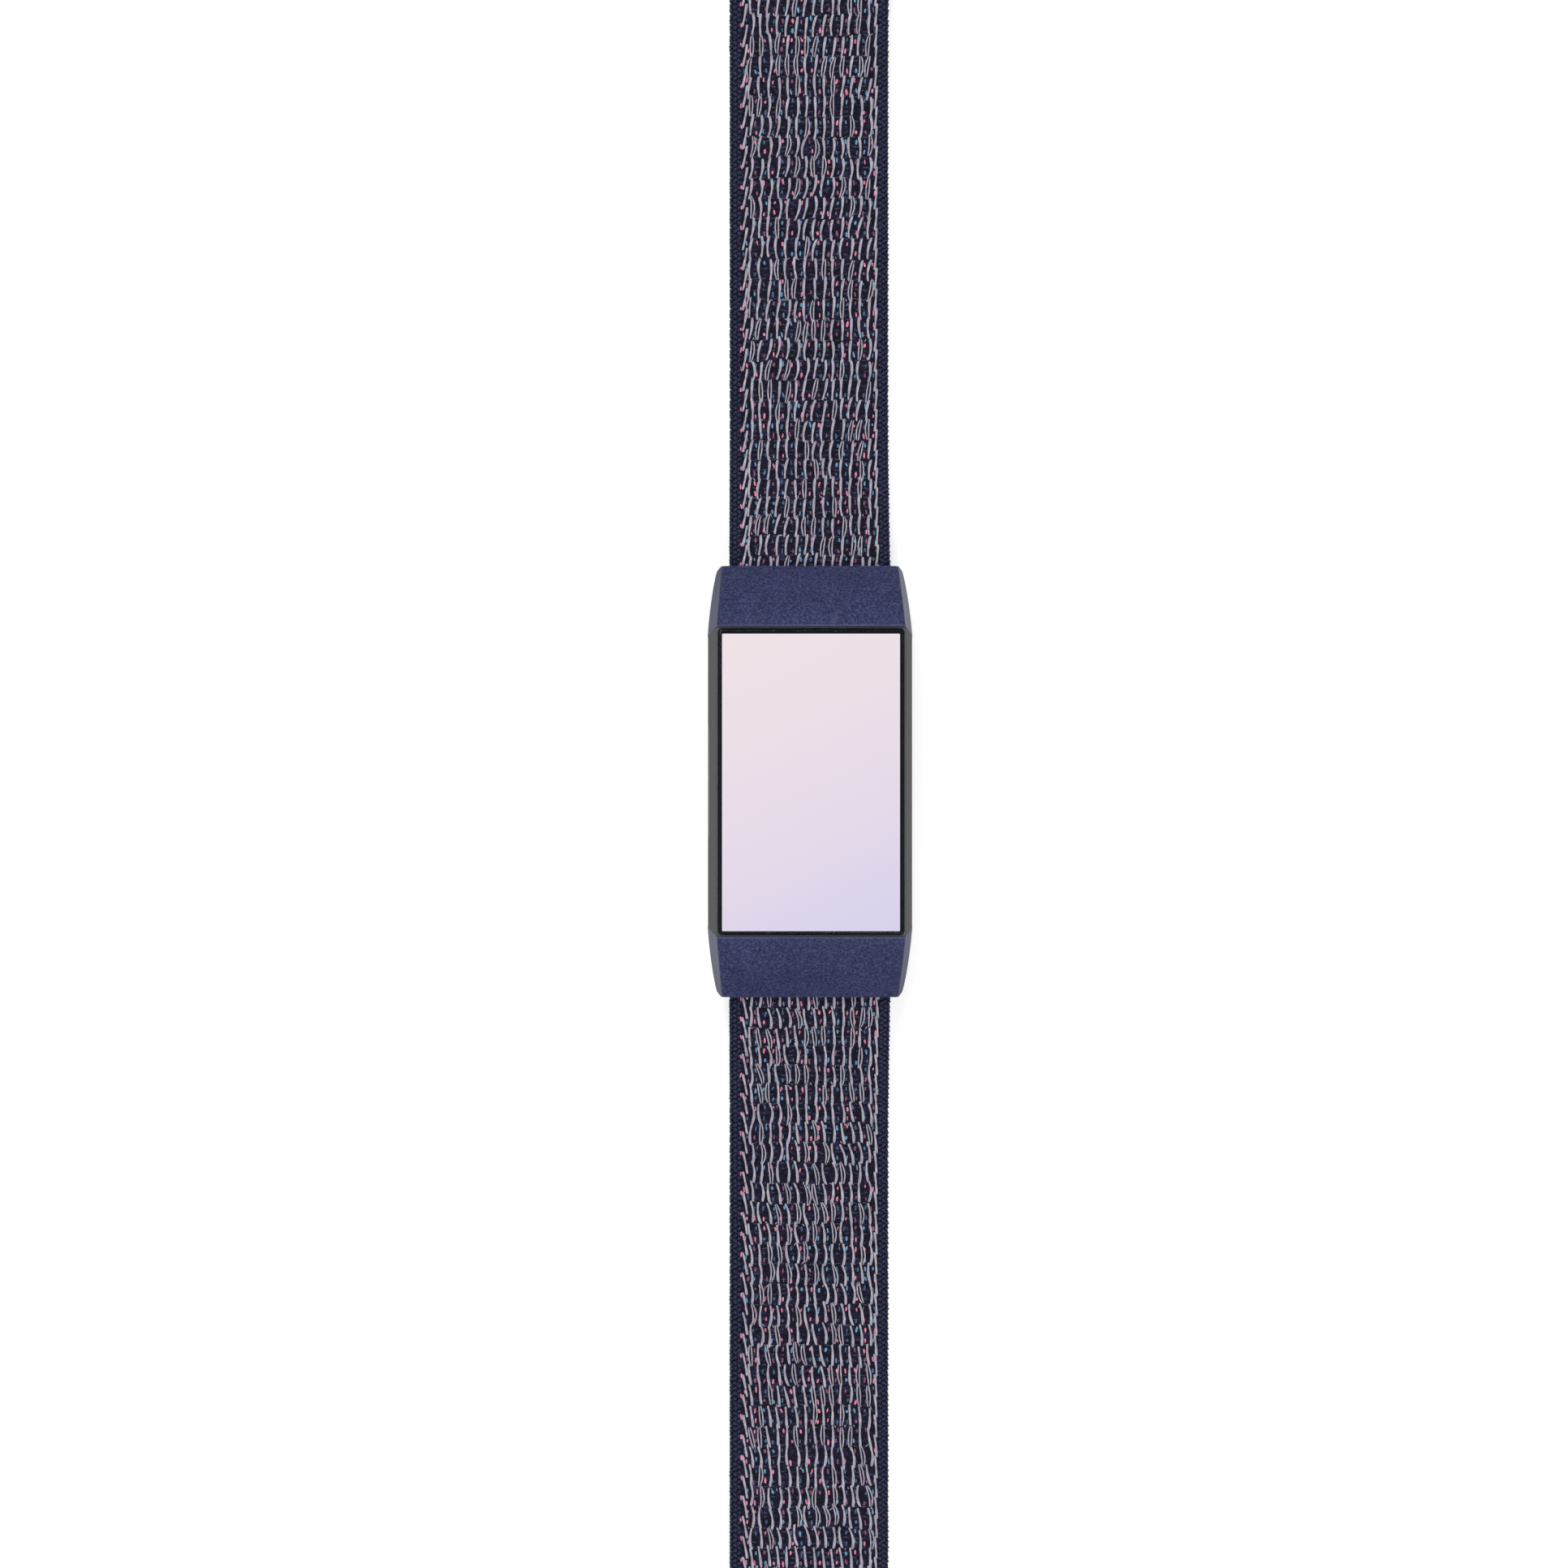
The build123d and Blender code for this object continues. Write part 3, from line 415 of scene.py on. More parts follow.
def cord_paths(strip, rng):
    """Centre lines of the cords on the outer face: each floats over two rows, bows, and tucks under."""
    span = CORD_ROWS * ROW
    rows = int(strip.length / span) + 1
    t = np.linspace(0, 1, 11)
    arch = np.sin(pi * t)
    dive = 0.34  # how far a cord's ends go down into the ground
    paths, widths = [], []
    drift = np.cumsum(rng.normal(0, 0.5, rows))
    for row in range(rows):
        bow_row = 0.16 * sin(drift[row] * 1.7) + 0.04
        for c, x in enumerate(column_places()):
            wander = 0.12 * sin(0.9 * row + 0.55 * c + 2.0 * sin(0.21 * row + 0.4 * c))
            bow = bow_row * (1 if (c + row) % 5 else -0.6) + rng.normal(0, 0.055)
            lean = 0.11 + 0.09 * sin(0.7 * row + 0.31 * c) + rng.normal(0, 0.07)
            ripple = 0.16 * sin(0.55 * c + 1.3 * row) + 0.10 * sin(1.4 * c - 0.8 * row)
            start = row * span + ripple + rng.normal(0, 0.05)
            split = rng.random() < 0.24
            for strand in (-1, 1):
                gap = 0.062 + (0.12 if split else 0.0) * arch
                twist = np.cos(pi * (t * 1.1 + rng.random() * 0.3))
                along = start - 0.27 + t * (span + 0.54)
                across = x + wander + lean * (t - 0.5) * 2 + bow * arch * 1.35
                across = across + strand * gap * np.where(split, 1.0, twist)
                lift = -dive + dive * arch**0.36 + 0.03 * strand * twist
                paths.append(float_path(along, across, lift))
                widths.append(np.full_like(t, 0.17 if split else 0.215))
    for side, lean in ((-1, 0.30), (1, 0.13)):
        for row in range(rows):
            start = (row + 0.5) * span + rng.normal(0, 0.05)
            for strand in (-1, 1):
                along = start - 0.34 + t * (span + 0.68)
                across = side * EDGE_COLUMN_X + PATTERN_SHIFT + lean * (t - 0.45) * 2
                across = across + strand * 0.06 * np.cos(pi * t)
                across = across + rng.normal(0, 0.02) + 0.06 * arch
                lift = -dive + dive * arch**0.36
                paths.append(float_path(along, across, lift))
                widths.append(np.full_like(t, 0.21))
    paths, widths = np.array(paths), np.array(widths)
    taper = 0.6 + 0.4 * arch**0.5
    return paths, widths * taper, np.full_like(widths, CORD_HEIGHT) * taper


def inner_cord_paths(strip, rng):
    """The shorter, sparser floats on the wrist side."""
    rows = int(strip.length / ROW) + 1
    t = np.linspace(0, 1, 7)
    arch = np.sin(pi * t)
    paths = []
    for row in range(rows):
        for c, x in enumerate(column_places()):
            if (c + row) % 2:
                continue
            along = row * ROW + t * ROW * 1.25
            across = x + rng.normal(0, 0.05) + 0.1 * arch * (1 if row % 4 < 2 else -1)
            lift = -0.24 + 0.22 * arch**0.5
            paths.append(float_path(along, across, lift))
    paths = np.array(paths)
    taper = np.broadcast_to(0.5 + 0.5 * arch**0.5, paths.shape[:2])
    return paths, 0.36 * taper, CORD_HEIGHT * taper


def blob_shapes(places, sizes, turns):
    """Ellipsoids at (along, across, lift), with sizes (long, wide, high) and turned in the face."""
    template, faces = ellipsoid_template()
    local = template[None] * (sizes[:, None, :] / 2)
    c, s = np.cos(turns)[:, None], np.sin(turns)[:, None]
    along = local[..., 0] * c - local[..., 1] * s
    across = local[..., 0] * s + local[..., 1] * c
    shapes = np.stack([along, across, local[..., 2]], axis=-1) + places[:, None, :]
    return shapes, faces


def random_sizes(rng, count, *sizes):
    """Long, wide and high for each of many blobs, from (mean, spread) pairs; without spread it is fixed."""
    columns = [rng.normal(mean, spread, count) if spread else np.full(count, mean) for mean, spread in sizes]
    return np.abs(np.stack(columns, axis=-1))


def fleck_layout(strip, rng, share):
    """Places of the short bright flecks between the cords, one row after another."""
    rows = int(strip.length / ROW) + 1
    gaps = column_places()[:-1] + COLUMN / 2
    gaps = np.concatenate([[gaps[0] - COLUMN], gaps, [gaps[-1] + COLUMN]])
    places, tones = [], []
    for row in range(rows):
        for x in gaps:
            if rng.random() > share:
                continue
            along = (row + 0.5) * ROW + rng.normal(0, 0.09)
            places.append([along, x + rng.normal(0, 0.12), -0.20 + rng.normal(0, 0.02)])
            tones.append(rng.choice(4, p=[0.26, 0.27, 0.18, 0.29]))
        if row % CORD_ROWS == 0:
            along = (row + 1.05) * ROW + rng.normal(0, 0.05)
            places.append([along, PATTERN_SHIFT - EDGE_COLUMN_X - 0.40 + rng.normal(0, 0.03), -0.12])
            tones.append(0)
    sizes = random_sizes(rng, len(places), (0.60, 0.10), (0.25, 0.04), (0.22, 0))
    return np.array(places), sizes, rng.normal(0, 0.16, len(places)), np.array(tones)


def weft_layout(strip, rng):
    """Dim crossing threads that show between the cords, two for each row of flecks."""
    rows = int(strip.length / KNIT) + 1
    gaps = column_places()[:-1] + COLUMN / 2
    places = []
    for row in range(rows):
        for x in gaps:
            if rng.random() < 0.62:
                along = row * KNIT + rng.normal(0, 0.05)
                places.append([along, x + rng.normal(0, 0.10), -0.26])
    sizes = random_sizes(rng, len(places), (0.17, 0), (0.66, 0.12), (0.16, 0))
    return np.array(places), sizes, rng.normal(0, 0.22, len(places))


def tie_layout(strip, rng):
    """Frayed bits of cord where the floats dive under."""
    rows = int(strip.length / (CORD_ROWS * ROW)) + 1
    places = []
    for row in range(rows):
        for x in column_places():
            if rng.random() < 0.5:
                along = row * CORD_ROWS * ROW + rng.normal(0.1, 0.12)
                places.append([along, x + rng.normal(0, 0.24), -0.16])
    sizes = random_sizes(rng, len(places), (0.42, 0.09), (0.11, 0.02), (0.12, 0))
    return np.array(places), sizes, rng.normal(0, 0.6, len(places))


def selvedge_layout(strip, rng):
    """Knitted loops of both edges: slanted stitches in close columns that wrap over the side."""
    rows = int(strip.length / KNIT) + 1
    left = -HALF_WIDTH + 0.22 + np.arange(3) * (SELVEDGE_LEFT - 0.1) / 3
    right = HALF_WIDTH - 0.20 - np.arange(3) * (SELVEDGE_RIGHT - 0.1) / 3
    places, turns = [], []
    for row in range(rows):
        for k, x in enumerate(np.concatenate([left, right])):
            column = k % 3
            along = (row + 0.5 * (column % 2)) * KNIT + rng.normal(0, 0.02)
            drop = 0.0 if column else 0.30
            places.append([along, x + rng.normal(0, 0.015), -0.17 - drop])
            slant = 0.55 if (column + row) % 2 else -0.55
            turns.append(pi / 2 + slant + rng.normal(0, 0.08))
    return np.array(places), np.tile([0.56, 0.36, 0.34], (len(places), 1)), np.array(turns)


def side_knit_layout(strip, rng):
    """Knitted loops on the band's narrow sides, one at mid thickness for each row."""
    rows = int(strip.length / KNIT) + 1
    places = []
    for row in range(rows):
        for side in (-1, 1):
            half = float(np.interp(row * KNIT, strip.s, strip.thickness)) / 2
            places.append([row * KNIT, side * (HALF_WIDTH - 0.16), -half])
    sizes = np.tile([0.5, 0.32, 0.75], (len(places), 1))
    return np.array(places), sizes, rng.normal(0, 0.05, len(places))


# Materials

ANTI_REFLECTION = 0.5  # how much of plain glass's reflection is left by its coating
LEDGE_X = -10.95  # only the finger ledge faces up left of here
LEDGE_FACING = 0.7  # the least upward part of the ledge's normal


def grey(value):
    return (value, value, value)


class NodeTree:
    """Adds shader nodes to a node tree."""

    def __init__(self, tree):
        self.nodes = tree.nodes
        self.links = tree.links

    def put(self, node, values):
        """Joins a node's inputs to sockets, or sets them; a colour is given without its alpha."""
        for key, value in values.items():
            socket = node.inputs[key]
            if isinstance(value, bpy.types.NodeSocket):
                self.links.new(value, socket)
            elif socket.type == "RGBA":
                socket.default_value = (*value, 1)
            else:
                socket.default_value = value

    def add(self, kind, values=None, **settings):
        node = self.nodes.new(f"ShaderNode{kind}")
        for key, value in settings.items():
            setattr(node, key, value)
        self.put(node, values or {})
        return node

    def mixed_shaders(self, share, first, second):
        return self.add("MixShader", {"Fac": share, 1: first.outputs[0], 2: second.outputs[0]})


class Finish(NodeTree):
    """A material with its Principled shader, and millimetre coordinates to drive its detail."""

    def __init__(self, name):
        self.made = bpy.data.materials.new(name)
        self.made.use_nodes = True
        super().__init__(self.made.node_tree)
        self.shader = self.nodes["Principled BSDF"]
        place = self.add("TexCoord").outputs["Object"]
        self.coords = self.add("VectorMath", {0: place, "Scale": 1 / MM}, operation="SCALE").outputs[0]

    def surface(self, values):
        self.put(self.shader, values)

    def output(self, shader):
        self.put(self.nodes["Material Output"], {"Surface": shader.outputs[0]})

    def noise(self, size, detail=3.0, stretch=None):
        """Noise whose features are about size millimetres, optionally stretched along the axes."""
        coords = self.coords
        if stretch:
            coords = self.add("VectorMath", {0: coords, 1: stretch}, operation="MULTIPLY").outputs[0]
        values = {"Vector": coords, "Scale": 1 / size, "Detail": detail}
        return self.add("TexNoise", values).outputs["Fac"]

    def ramp(self, value, *stops):
        """A colour ramp from (position, colour) stops."""
        made = self.add("ValToRGB", {"Fac": value})
        elements = made.color_ramp.elements
        for element, (position, colour) in ((elements[0], stops[0]), (elements[1], stops[-1])):
            element.position = position
            element.color = (*colour, 1)
        for position, colour in stops[1:-1]:
            elements.new(position).color = (*colour, 1)
        return made.outputs["Color"]

    def remap(self, value, start, end, low=0.0, high=1.0):
        limits = {"From Min": start, "From Max": end, "To Min": low, "To Max": high}
        return self.add("MapRange", {"Value": value, **limits}).outputs["Result"]

    def level(self, value, low, high):
        """Maps the middle of a noise's range to a range of values."""
        return self.remap(value, 0.3, 0.7, low, high)

    def math(self, operation, first, second):
        return self.add("Math", {0: first, 1: second}, operation=operation).outputs[0]

    def part(self, vector, axis):
        return self.add("SeparateXYZ", {0: vector}).outputs[axis]

    def mix(self, share, first, second, blend="MIX"):
        """Mixes two colours, each a socket or a triple."""
        values = {"Factor": share, 6: first, 7: second}
        return self.add("Mix", values, data_type="RGBA", blend_type=blend).outputs[2]

    def edges(self, width):
        """1 along a solid's edges and 0 on its faces, from a normal rounded over width millimetres."""
        rounded = self.add("Bevel", {"Radius": width * MM}, samples=6).outputs["Normal"]
        surface = self.add("NewGeometry").outputs["Normal"]
        match = self.add("VectorMath", {0: rounded, 1: surface}, operation="DOT_PRODUCT")
        return self.remap(match.outputs["Value"], 0.999, 0.93)

    def bump(self, height, depth, previous=None):
        """Bump from a height socket, depth millimetres deep at its full range."""
        values = {"Strength": 1.0, "Distance": depth * MM, "Height": height}
        if previous:
            values["Normal"] = previous
        normal = self.add("Bump", values).outputs["Normal"]
        self.surface({"Normal": normal})
        return normal


def grained(name, dark, light, size, rough, depth, metallic=0.0, stretch=None, sheen=0.0, specular=0.5):
    """The common recipe: two close tones over a grain, with roughness and bump from the same grain."""
    finish = Finish(name)
    grain = finish.noise(size, stretch=stretch)
    finish.surface({
        "Base Color": finish.ramp(grain, (0.35, dark), (0.65, light)),
        "Roughness": finish.level(grain, *rough),
        "Metallic": metallic,
        "Specular IOR Level": specular,
        "Sheen Weight": sheen,
    })
    finish.bump(grain, depth)
    return finish.made


def brushed(name, dark, light, rough):
    """Metal with fine brush marks along y."""
    return grained(name, dark, light, 0.12, rough, 0.004, metallic=1.0, stretch=(1.0, 0.04, 1.0))


def soft_touch():
    """Navy soft-touch plastic: mottled grain, rubbed streaks, pale specks of dust, and a painted violet highlight
    along the edges.
    """
    finish = Finish("navy_soft_touch")
    grain = finish.noise(0.26, 4.0)
    cloud = finish.noise(4.0, 2.0)
    streak = finish.noise(1.6, 5.0, stretch=(1.0, 0.12, 1.0))
    dust = finish.add("TexVoronoi", {"Vector": finish.coords, "Scale": 0.9}).outputs["Distance"]
    base = finish.ramp(
        grain,
        (0.34, (0.0095, 0.0130, 0.052)),
        (0.50, (0.0262, 0.0318, 0.094)),
        (0.66, (0.0540, 0.0620, 0.150)),
    )
    tone = finish.ramp(cloud, (0.3, (0.90, 0.91, 0.93)), (0.7, (1.08, 1.07, 1.06)))
    rubbed = finish.ramp(streak, (0.66, grey(0)), (0.74, grey(0.30)))
    speck = finish.ramp(dust, (0.035, grey(0.5)), (0.06, grey(0)))
    # Painted highlight: the edges are lightened towards violet, more strongly where the large cloud noise is high.
    edge_highlight = finish.math("MULTIPLY", finish.edges(0.16), finish.level(cloud, 0.35, 0.8))
    base = finish.mix(1.0, base, tone, "MULTIPLY")
    base = finish.mix(rubbed, base, (0.075, 0.078, 0.14))
    base = finish.mix(speck, base, (0.11, 0.11, 0.17))
    base = finish.mix(edge_highlight, base, (0.13, 0.12, 0.26))
    finish.surface({
        "Base Color": base,
        "Roughness": finish.level(grain, 0.52, 0.72),
        "Specular IOR Level": 0.22,
        "Sheen Weight": 0.5,
        "Sheen Roughness": 0.3,
        "Sheen Tint": (0.80, 0.78, 0.86),
    })
    finish.bump(grain, 0.018)
    return finish.made


def case_metal():
    """Bead-blasted dark grey metal with a painted highlight along its edges; the finger ledge in the left side,
    which faces up, is painted lighter as a painted highlight where it faces the light.
    """
    finish = Finish("case_grey")
    grain = finish.noise(0.12, 4.0)
    base = finish.ramp(grain, (0.36, (0.060, 0.062, 0.060)), (0.64, (0.107, 0.110, 0.106)))
    # Painted highlight: the case's edges are lightened towards a paler grey.
    base = finish.mix(finish.edges(0.08), base, (0.15, 0.155, 0.15))
    # Painted highlight: upward faces of the finger ledge, left of LEDGE_X, are given a lighter grey.
    normal = finish.add("NewGeometry").outputs["True Normal"]
    left = finish.math("LESS_THAN", finish.part(finish.coords, "X"), LEDGE_X)
    upward = finish.math("GREATER_THAN", finish.part(normal, "Z"), LEDGE_FACING)
    ledge = finish.math("MULTIPLY", left, upward)
    finish.surface({
        "Base Color": finish.mix(ledge, base, (0.180, 0.184, 0.177)),
        "Roughness": finish.level(grain, 0.42, 0.58),
        "Metallic": 0.3,
        "Specular IOR Level": 0.3,
    })
    finish.bump(grain, 0.006)
    return finish.made


def yarn(name, dark, light, rough=(0.5, 0.8), fibre=0.09, sheen=0.3):
    """Spun yarn: fine fibres that run along it, lighter where they catch the light."""
    finish = Finish(name)
    fibres = finish.noise(fibre, 2.0, stretch=(1.0, 0.22, 1.0))
    base = finish.ramp(fibres, (0.32, dark), (0.66, light))
    shade = finish.ramp(finish.noise(1.3, 1.0), (0.3, (0.82, 0.82, 0.84)), (0.7, grey(1.1)))
    finish.surface({
        "Base Color": finish.mix(1.0, base, shade, "MULTIPLY"),
        "Roughness": finish.level(fibres, *rough),
        "Sheen Weight": sheen,
        "Specular IOR Level": 0.3,
    })
    finish.bump(fibres, 0.03)
    return finish.made


def ground_cloth():
    """The near-black navy ground, with purple and blue threads that barely show."""
    finish = Finish("ground_cloth")
    threads = finish.noise(0.33, 3.0, stretch=(0.6, 1.0, 1.0))
    base = finish.ramp(
        threads,
        (0.30, (0.001, 0.001, 0.004)),
        (0.48, (0.003, 0.003, 0.013)),
        (0.62, (0.014, 0.009, 0.032)),
        (0.74, (0.018, 0.030, 0.080)),
    )
    finish.surface({"Base Color": base, "Roughness": 0.85, "Specular IOR Level": 0.2})
    values = {"Vector": finish.coords, "Scale": 1 / (KNIT * pi), "Distortion": 2.0}
    weave = finish.add("TexWave", values, bands_direction="Y")
    ribs = finish.bump(weave.outputs["Fac"], 0.08)
    finish.bump(threads, 0.05, ribs)
    return finish.made


def display_light():
    """The lit display: a pale pink at the top that turns to pale lavender below."""
    finish = Finish("display_light")
    low, high = box_mm("display_panel")
    shares = []
    for axis, start, end, share in (("X", low[0], high[0], 0.22), ("Y", high[1], low[1], 0.78)):
        shares.append(finish.remap(finish.part(finish.coords, axis), start, end, high=share))
    tint = finish.ramp(
        finish.math("ADD", *shares),
        (0.0, (0.880, 0.775, 0.795)),
        (0.5, (0.815, 0.725, 0.805)),
        (1.0, (0.690, 0.640, 0.830)),
    )
    finish.surface({
        "Emission Color": tint,
        "Emission Strength": 1.02,
        "Base Color": (0.01, 0.01, 0.012),
        "Roughness": 0.4,
        "Specular IOR Level": 0.0,
    })
    return finish.made


def clear_glass(name, tint, refraction):
    """Glass as a thin coat of reflection over what lies behind it."""
    finish = Finish(name)
    finish.nodes.remove(finish.shader)
    smudge = finish.level(finish.noise(3.0), 0.04, 0.10)
    through = finish.add("BsdfTransparent", {"Color": tint})
    shine = finish.add("BsdfGlossy", {"Color": (0.62, 0.76, 0.90), "Roughness": smudge})
    angle = finish.add("Fresnel", {"IOR": refraction}).outputs[0]
    outside = finish.math("SUBTRACT", 1.0, finish.add("NewGeometry").outputs["Backfacing"])
    share = finish.math("MULTIPLY", finish.math("MULTIPLY", angle, outside), ANTI_REFLECTION)
    finish.output(finish.mixed_shaders(share, through, shine))
    return finish.made


def circuit_board():
    """Green solder mask over copper tracks."""
    finish = Finish("circuit_board")
    tracks = finish.add("TexBrick", {
        "Vector": finish.coords,
        "Scale": 1.4,
        "Mortar Size": 0.05,
        "Color1": (0.006, 0.060, 0.030),
        "Color2": (0.008, 0.075, 0.036),
        "Mortar": (0.02, 0.13, 0.06),
    })
    finish.surface({"Base Color": tracks.outputs["Color"], "Roughness": 0.35})
    finish.bump(tracks.outputs["Fac"], 0.02)
    return finish.made


BLACK_INK = ((0.0025, 0.003, 0.005), (0.005, 0.006, 0.009))
TAB_NAVY = ((0.020, 0.023, 0.055), (0.032, 0.036, 0.078))
MATERIALS = {
    "connector": soft_touch(),
    "case": case_metal(),
    "rear": grained("rear_black", (0.014, 0.014, 0.016), (0.026, 0.026, 0.029), 0.15, (0.5, 0.7), 0.012),
    "seal": grained("seal_rubber", grey(0.012), grey(0.022), 0.3, (0.7, 0.9), 0.01),
    "window": clear_glass("window_glass", (0.20, 0.21, 0.24), 1.5),
    "contacts": brushed("gold_plate", (0.72, 0.47, 0.17), (0.86, 0.60, 0.26), (0.18, 0.32)),
    "membrane": grained("membrane_mesh", grey(0.35), grey(0.6), 0.1, (0.7, 0.9), 0.03),
    "glass": clear_glass("cover_glass_clear", (0.985, 0.985, 0.99), 1.45),
    "border": grained("black_print", *BLACK_INK, 0.4, (0.5, 0.6), 0.001, specular=0.05),
    "display": display_light(),
    "foam": grained("dark_foam", grey(0.02), grey(0.05), 0.2, (0.8, 0.95), 0.05),
    "flex": grained("amber_film", (0.30, 0.12, 0.025), (0.42, 0.18, 0.04), 0.5, (0.25, 0.4), 0.01),
    "chassis": grained("chassis_plastic", (0.03, 0.03, 0.035), (0.05, 0.05, 0.055), 0.2, (0.5, 0.7), 0.01),
    "battery": brushed("battery_foil", (0.50, 0.51, 0.53), (0.62, 0.63, 0.65), (0.3, 0.45)),
    "board": circuit_board(),
    "shield": brushed("tinned_shield", grey(0.52), grey(0.66), (0.25, 0.4)),
    "screw": brushed("dark_zinc", (0.22, 0.22, 0.24), (0.32, 0.32, 0.34), (0.3, 0.45)),
    "motor": brushed("motor_can", (0.46, 0.46, 0.47), (0.6, 0.6, 0.61), (0.25, 0.4)),
    "weight": brushed("sintered_weight", (0.3, 0.3, 0.31), (0.42, 0.42, 0.43), (0.4, 0.55)),
    "emitter": grained("emitter_package", (0.35, 0.62, 0.28), (0.5, 0.78, 0.4), 0.4, (0.15, 0.3), 0.004),
    "detector": grained("detector_package", (0.01, 0.01, 0.03), (0.03, 0.03, 0.06), 0.5, (0.15, 0.3), 0.004),
    "steel": brushed("satin_steel", (0.44, 0.44, 0.46), (0.58, 0.58, 0.60), (0.28, 0.42)),
    "ring": brushed("ring_steel", (0.36, 0.36, 0.38), (0.52, 0.52, 0.54), (0.22, 0.36)),
    "tab": grained("tab_polymer", *TAB_NAVY, 0.3, (0.5, 0.7), 0.03, sheen=0.2),
    "hook": grained("hook_nylon", (0.012, 0.014, 0.030), (0.022, 0.026, 0.05), 0.3, (0.35, 0.5), 0.01),
}
GROUND = ground_cloth()
CORD = yarn("cord_lilac_grey", (0.24, 0.222, 0.275), (0.50, 0.465, 0.555))
KNIT_NAVY = yarn("knit_navy", (0.004, 0.006, 0.026), (0.024, 0.034, 0.098), (0.6, 0.85), 0.16, 0.1)
THREAD = yarn("thread_navy", (0.008, 0.010, 0.03), (0.022, 0.027, 0.07), (0.45, 0.65), 0.09, 0.15)
FLECKS = (
    yarn("fleck_pink", (0.50, 0.10, 0.20), (0.90, 0.26, 0.40), (0.4, 0.7)),
    yarn("fleck_plum", (0.10, 0.030, 0.085), (0.32, 0.085, 0.17), (0.4, 0.7)),
    yarn("fleck_blue", (0.05, 0.18, 0.33), (0.13, 0.36, 0.55), (0.4, 0.7)),
    yarn("fleck_teal", (0.020, 0.060, 0.125), (0.055, 0.14, 0.25), (0.4, 0.7)),
    yarn("weft_slate", (0.010, 0.014, 0.034), (0.034, 0.048, 0.100), (0.5, 0.8)),
)


MATERIALS |= {"webbing": GROUND, "thread": THREAD}


def dress_cad_nodes():
    """Gives every carried-over CAD node its finish by the record's material slot."""
    slots = {part["node"]: part["material_slot"] for part in frame["record"]["subparts"]}
    for node, obj in frame["nodes"].items():
        finish = MATERIALS[slots[node]]
        for slot in obj.material_slots:
            slot.link = "OBJECT"
            slot.material = finish


# Band pieces: each runs from the middle of one segment to the middle of the next, over one joint


@dataclass
class Span:
    """One visual run of a strip, with the two bodies on either side of it and the CAD nodes it stands for."""

    name: str
    start: float
    end: float
    bodies: tuple
    bend: tuple  # where along the band, in y, the bend starts and ends
    nodes: list


def middles(places):
    return [(a + b) / 2 for a, b in zip(places[:-1], places[1:])]


def numbered(name, count):
    return [f"{name}_{n + 1}" for n in range(count)]


def round_bends(joints, before, after):
    """Where each bend starts and ends, over joints that curl alike, with straight webbing on either side.
    Midway between two joints a bend is two thirds done, so that the runs meet in one round curve."""
    halfway = middles(joints)
    first = joints[0] - before
    last = joints[-1] + after
    bends = [(first, first + 1.5 * (halfway[0] - first))]
    for joint, low, high in zip(joints[1:-1], halfway[:-1], halfway[1:]):
        reach = 1.5 * (high - low)
        bends.append((joint - reach, joint + reach))
    return bends + [(last - 1.5 * (last - halfway[-1]), last)]


TAIL_BENDS = round_bends(TAIL_Y, TAIL_BEND, TAIL_BEND)


def joined_spans(strip, names, cut_y, bodies, bends, parts):
    """One span for each bend; the last one also stands for the last CAD part."""
    cuts = [0.0] + [strip.main_s(y) for y in cut_y] + [strip.length]
    spans = []
    for n, bend in enumerate(bends):
        nodes = parts[n:] if n == len(bends) - 1 else parts[n : n + 1]
        spans.append(Span(names[n], cuts[n], cuts[n + 1], (bodies[n], bodies[n + 1]), bend, nodes))
    return spans


def upper_spans(strip):
    bodies = numbered("upper_band", 5)
    bends = round_bends(CURL_Y, CONNECTOR_BEND, CURL_BEND)
    names = numbered("upper_webbing", 4)
    return joined_spans(strip, names, middles(CURL_Y), bodies, bends, numbered("upper_strap", 5))


def lower_spans(strip):
    names = numbered("lower_webbing", 5) + numbered("tail_webbing", 3)
    cut_y = middles(CURL_Y + [FOLD_Y] + TAIL_Y)
    cut_y[3] -= 1.2  # clear of the ring, which rests in the fold
    bodies = numbered("lower_band", 5) + numbered("tail", 4)
    bends = round_bends(CURL_Y, CONNECTOR_BEND, CURL_BEND_AT_FOLD)
    bends += [(FOLD_Y - FOLD_BEND, FOLD_Y + FOLD_BEND)] + TAIL_BENDS
    parts = numbered("lower_strap", 5) + numbered("tail", 4)
    return joined_spans(strip, names, cut_y, bodies, bends, parts)


def bend_piece(piece):
    """Bakes a piece's placement into its mesh."""
    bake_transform(piece)


def under_patch(strip, places):
    """Which (along, across) places lie under the hook patch."""
    if strip.side > 0:
        return np.zeros(len(places), bool)
    low = strip.main_s(-box_mm("hook_patch_inner")[1][1]) - 0.3
    high = strip.main_s(-box_mm("hook_patch_outer")[0][1]) + 0.3
    half = box_mm("hook_patch_inner")[1][0]
    return (places[:, 0] > low) & (places[:, 0] < high) & (np.abs(places[:, 1]) < half + 0.15)


@dataclass
class Layer:
    """Yarns of one kind on one face: the function and values that shape them, and their tones."""

    make: object
    values: tuple
    face: int = 1
    margin: float = 0.0  # kept free at both ends of a run
    covered: bool = True  # left out under the hook patch, if on the outer face
    tones: object = None

    def in_span(self, strip, span):
        """The layer's yarns within a span, placed on the strip, with their template and tones."""
        places = self.values[0]
        inside = np.ones(len(places), bool)
        if self.make is cord_shapes:
            inside = (places[:, 0, 0] > 0) & (places[:, -1, 0] < strip.length)
            places = places[:, places.shape[1] // 2]
        along = places[:, 0]
        inside &= (along >= span.start + self.margin) & (along < span.end - self.margin)
        if self.covered and self.face > 0:
            inside &= ~under_patch(strip, places)
        shapes, template = self.make(*(value[inside] for value in self.values))
        tones = np.zeros(len(shapes), int) if self.tones is None else self.tones[inside]
        return laid(strip, shapes, self.face), template, tones


